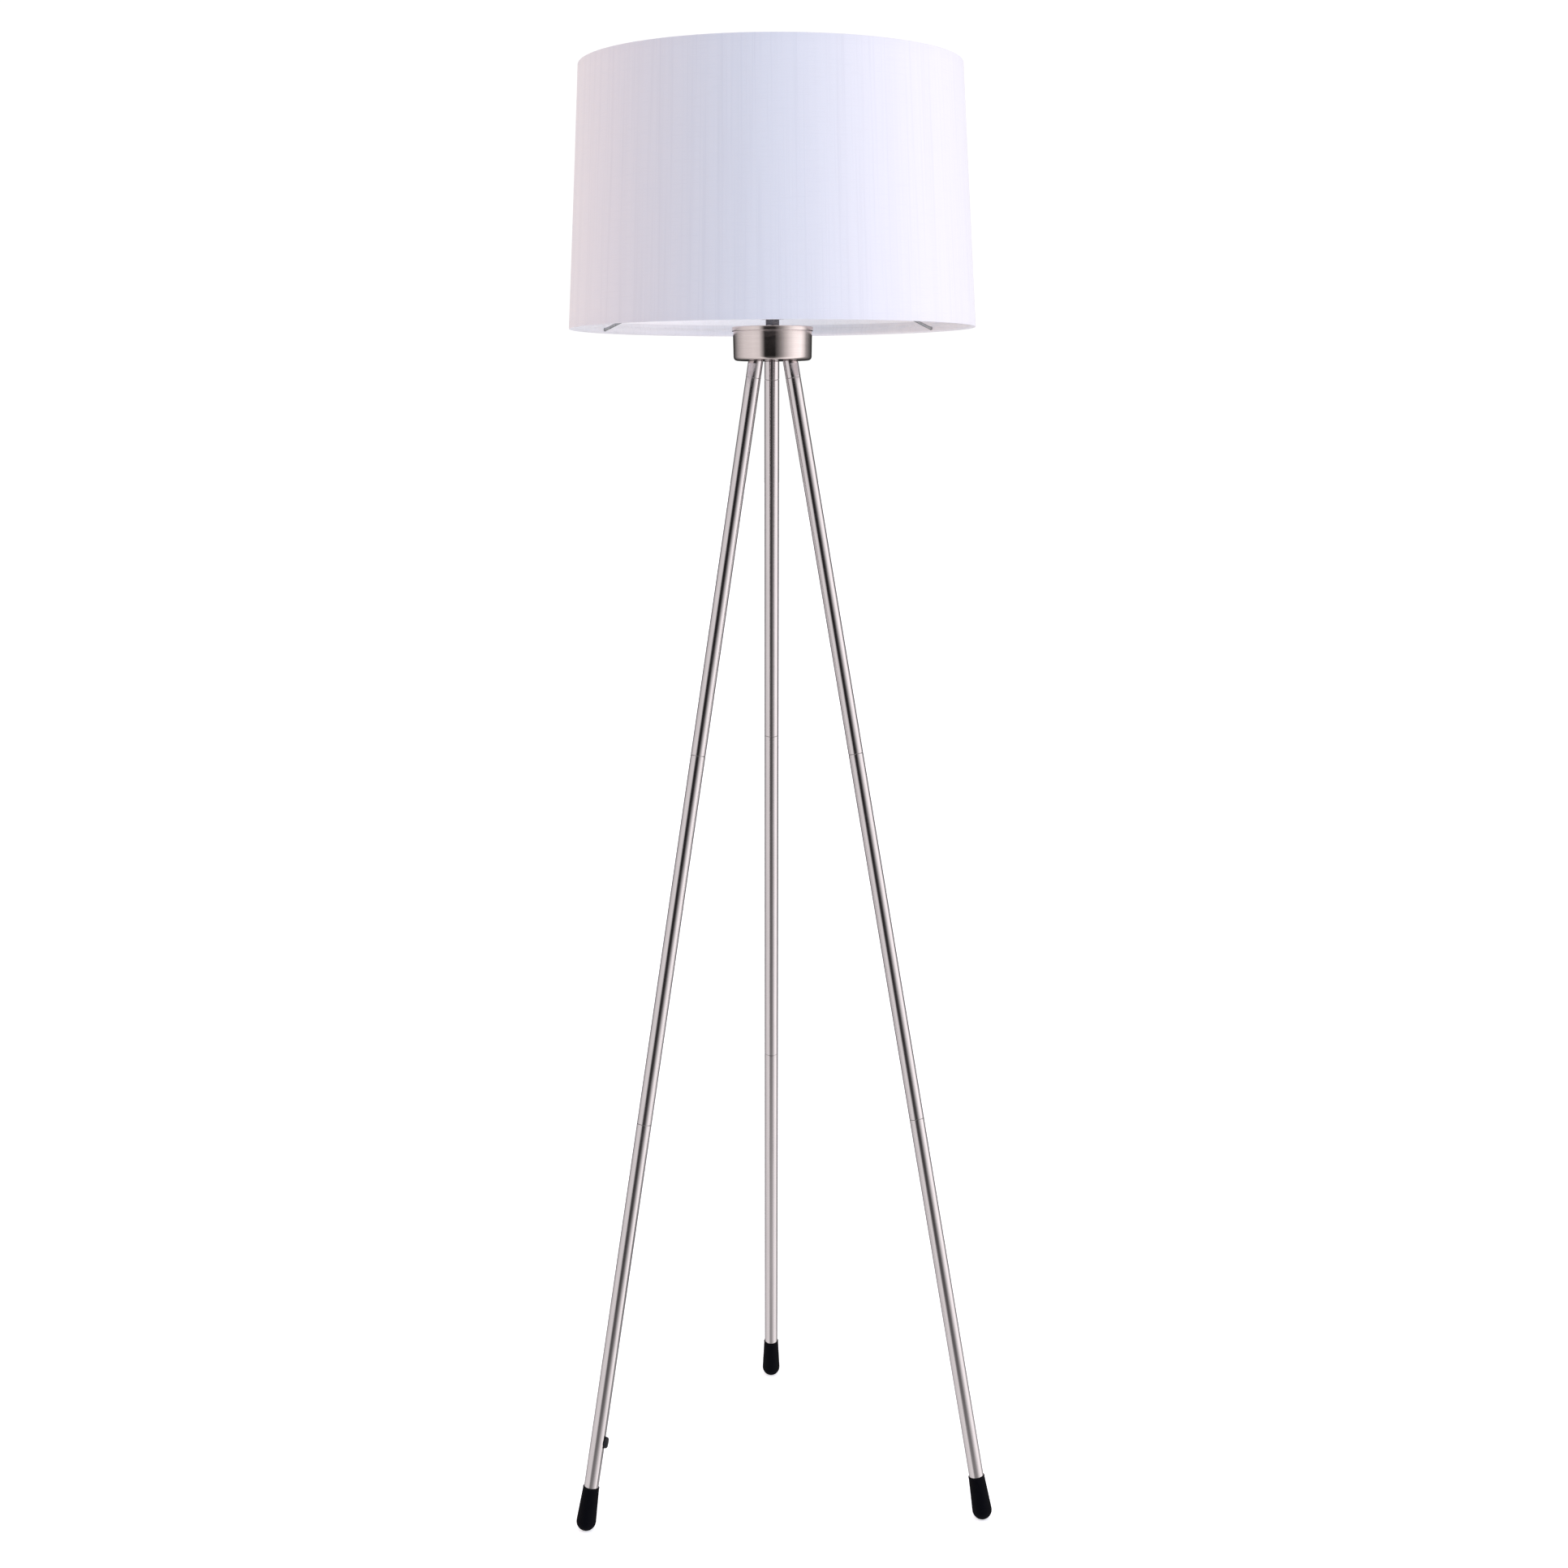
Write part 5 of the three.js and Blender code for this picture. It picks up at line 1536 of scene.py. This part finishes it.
def cloth_finish():
    """Plain weave of slub yarn: warp and weft as two rounded waves that pass over each other in turn, thick
    and thin places stretched along the yarns, and a finer fuzz over it all."""
    material = bpy.data.materials.new("slub_cloth")
    material.use_nodes = True
    tree = material.node_tree
    shader = tree.nodes["Principled BSDF"]
    place = add(tree, "UVMap", uv_map="cloth").outputs["UV"]
    object_place = add(tree, "TexCoord").outputs["Object"]
    around = add(tree, "SeparateXYZ", {0: place})
    per_metre = THREADS_AROUND / SHADE_RADIUS
    warp = math_node(tree, "SINE", math_node(tree, "MULTIPLY", around.outputs["X"], per_metre))
    weft = math_node(tree, "SINE", math_node(tree, "MULTIPLY", around.outputs["Y"], math.pi / THREAD_RISE))
    crossing = math_node(tree, "MULTIPLY", warp, weft)
    off_axis = {"Vector": object_place, "Location": (-AXIS.x, -AXIS.y, 0.0), "Scale": (1.0, 1.0, 0.0)}
    outward = add(tree, "VectorMath", {0: add(tree, "Mapping", off_axis).outputs[0]}, operation="NORMALIZE")
    climb = add(tree, "Mapping", {"Vector": object_place, "Scale": (0.0, 0.0, YARN_SPREAD)})
    upright = add(tree, "VectorMath", {0: outward.outputs[0], 1: climb.outputs[0]}, operation="ADD")
    level = add(tree, "Mapping", {"Vector": object_place, "Scale": (0.05, 0.05, 1.0)})
    slub_up = add(tree, "TexNoise", {"Vector": upright.outputs[0], "Scale": 85.0, "Detail": 3.0})
    slub_level = add(tree, "TexNoise", {"Vector": level.outputs[0], "Scale": 900.0, "Detail": 2.0})
    broad = add(tree, "TexNoise", {"Vector": upright.outputs[0], "Scale": 20.0, "Detail": 2.0})
    fuzz = add(tree, "TexNoise", {"Vector": object_place, "Scale": 2600.0, "Detail": 2.0})
    up_mask = stretch(tree, slub_up.outputs["Fac"], 0.46, 0.70)
    level_mask = stretch(tree, slub_level.outputs["Fac"], 0.48, 0.72)
    broad_mask = stretch(tree, broad.outputs["Fac"], 0.42, 0.68)
    yarn = math_node(tree, "MAXIMUM", up_mask, math_node(tree, "MULTIPLY", level_mask, 0.5))
    tone = times_plus(tree, broad_mask, 0.35, math_node(tree, "MULTIPLY", yarn, 0.65))
    colour = blend_colour(tree, tone, CLOTH_WHITE, CLOTH_SHADE)
    # Painted shade: the cloth's outside is darkened in a band over each wire ring, where the ring lies behind
    # it.
    ring_band_shade = add(tree, "Attribute", attribute_name="edge").outputs["Fac"]
    colour = blend_colour(tree, math_node(tree, "MULTIPLY", ring_band_shade, 0.6), colour, RING_BAND_PAINTED_SHADE)
    settled = effect(tree, SETTLED_DUST, {"Place": object_place, "Amount": 0.25})["Mask"]
    colour = blend_colour(tree, settled, colour, DUST_COLOUR)
    fibres = times_plus(tree, yarn, 0.6, math_node(tree, "MULTIPLY", fuzz.outputs["Fac"], 0.3))
    height = times_plus(tree, crossing, 0.30, fibres)
    bump = add(tree, "Bump", {"Height": height, "Strength": 0.6, "Distance": 0.00012})
    connect(tree, shader.inputs["Base Color"], colour)
    connect(tree, shader.inputs["Roughness"], stretch(tree, yarn, 0.0, 1.0, 0.82, 0.95))
    connect(tree, shader.inputs["Normal"], bump.outputs["Normal"])
    shader.inputs["Sheen Weight"].default_value = 0.15
    shader.inputs["Sheen Roughness"].default_value = 0.5
    shader.inputs["Specular IOR Level"].default_value = 0.3
    return material


def liner_shell():
    """The stiff sheet inside the cloth: a thin cone with square edges just inside the rolled ones."""
    low, high = LINER_MARGIN, SHADE_HEIGHT - LINER_MARGIN
    outer = CLOTH_THICKNESS + LINER_GAP
    corners = [
        (shade_radius(low) - SHADE_WALL, low, 0.0002),
        (shade_radius(low) - outer, low, 0.0002),
        (shade_radius(high) - outer, high, 0.0002),
        (shade_radius(high) - SHADE_WALL, high, 0.0002),
    ]
    profile, edges = rounded(corners, steps=3)
    profile[:, 1] += shade_low.z
    return turned(profile, SHADE_COLUMNS), edges, True


LINER = layered_finish(
    "shade_liner_painted_glow",
    (0.82, 0.815, 0.81, 1.0),
    (0.88, 0.875, 0.87, 1.0),
    rough=(0.42, 0.55),
    grain=(500.0, 0.00002),
    wear=(0.0, (0.9, 0.9, 0.9, 1.0), 0.4),
    marks=(12.0, 0.8, 0.12),
    dust=0.1,
    own_grain=False,
)
# Painted light: a faint white glow on the liner stands in for light coming through the cloth.
liner_shader = LINER.node_tree.nodes["Principled BSDF"]
liner_shader.inputs["Emission Color"].default_value = (0.98, 0.98, 1.0, 1.0)
liner_shader.inputs["Emission Strength"].default_value = LINER_PAINTED_GLOW
cloth_points, cloth_edges = cloth_shell()
cloth = make_piece("shade_cloth", [(cloth_points, cloth_edges, True)], ON_AXIS)
wrap_cloth(cloth, cloth_points.shape[0], cloth_angles())
fit(cloth, cloth_finish(), "shade", "shade_fabric", "shade_drum")
liner = make_piece("shade_lining", [liner_shell()], ON_AXIS)
fit(liner, LINER, "shade", "shade_fabric")
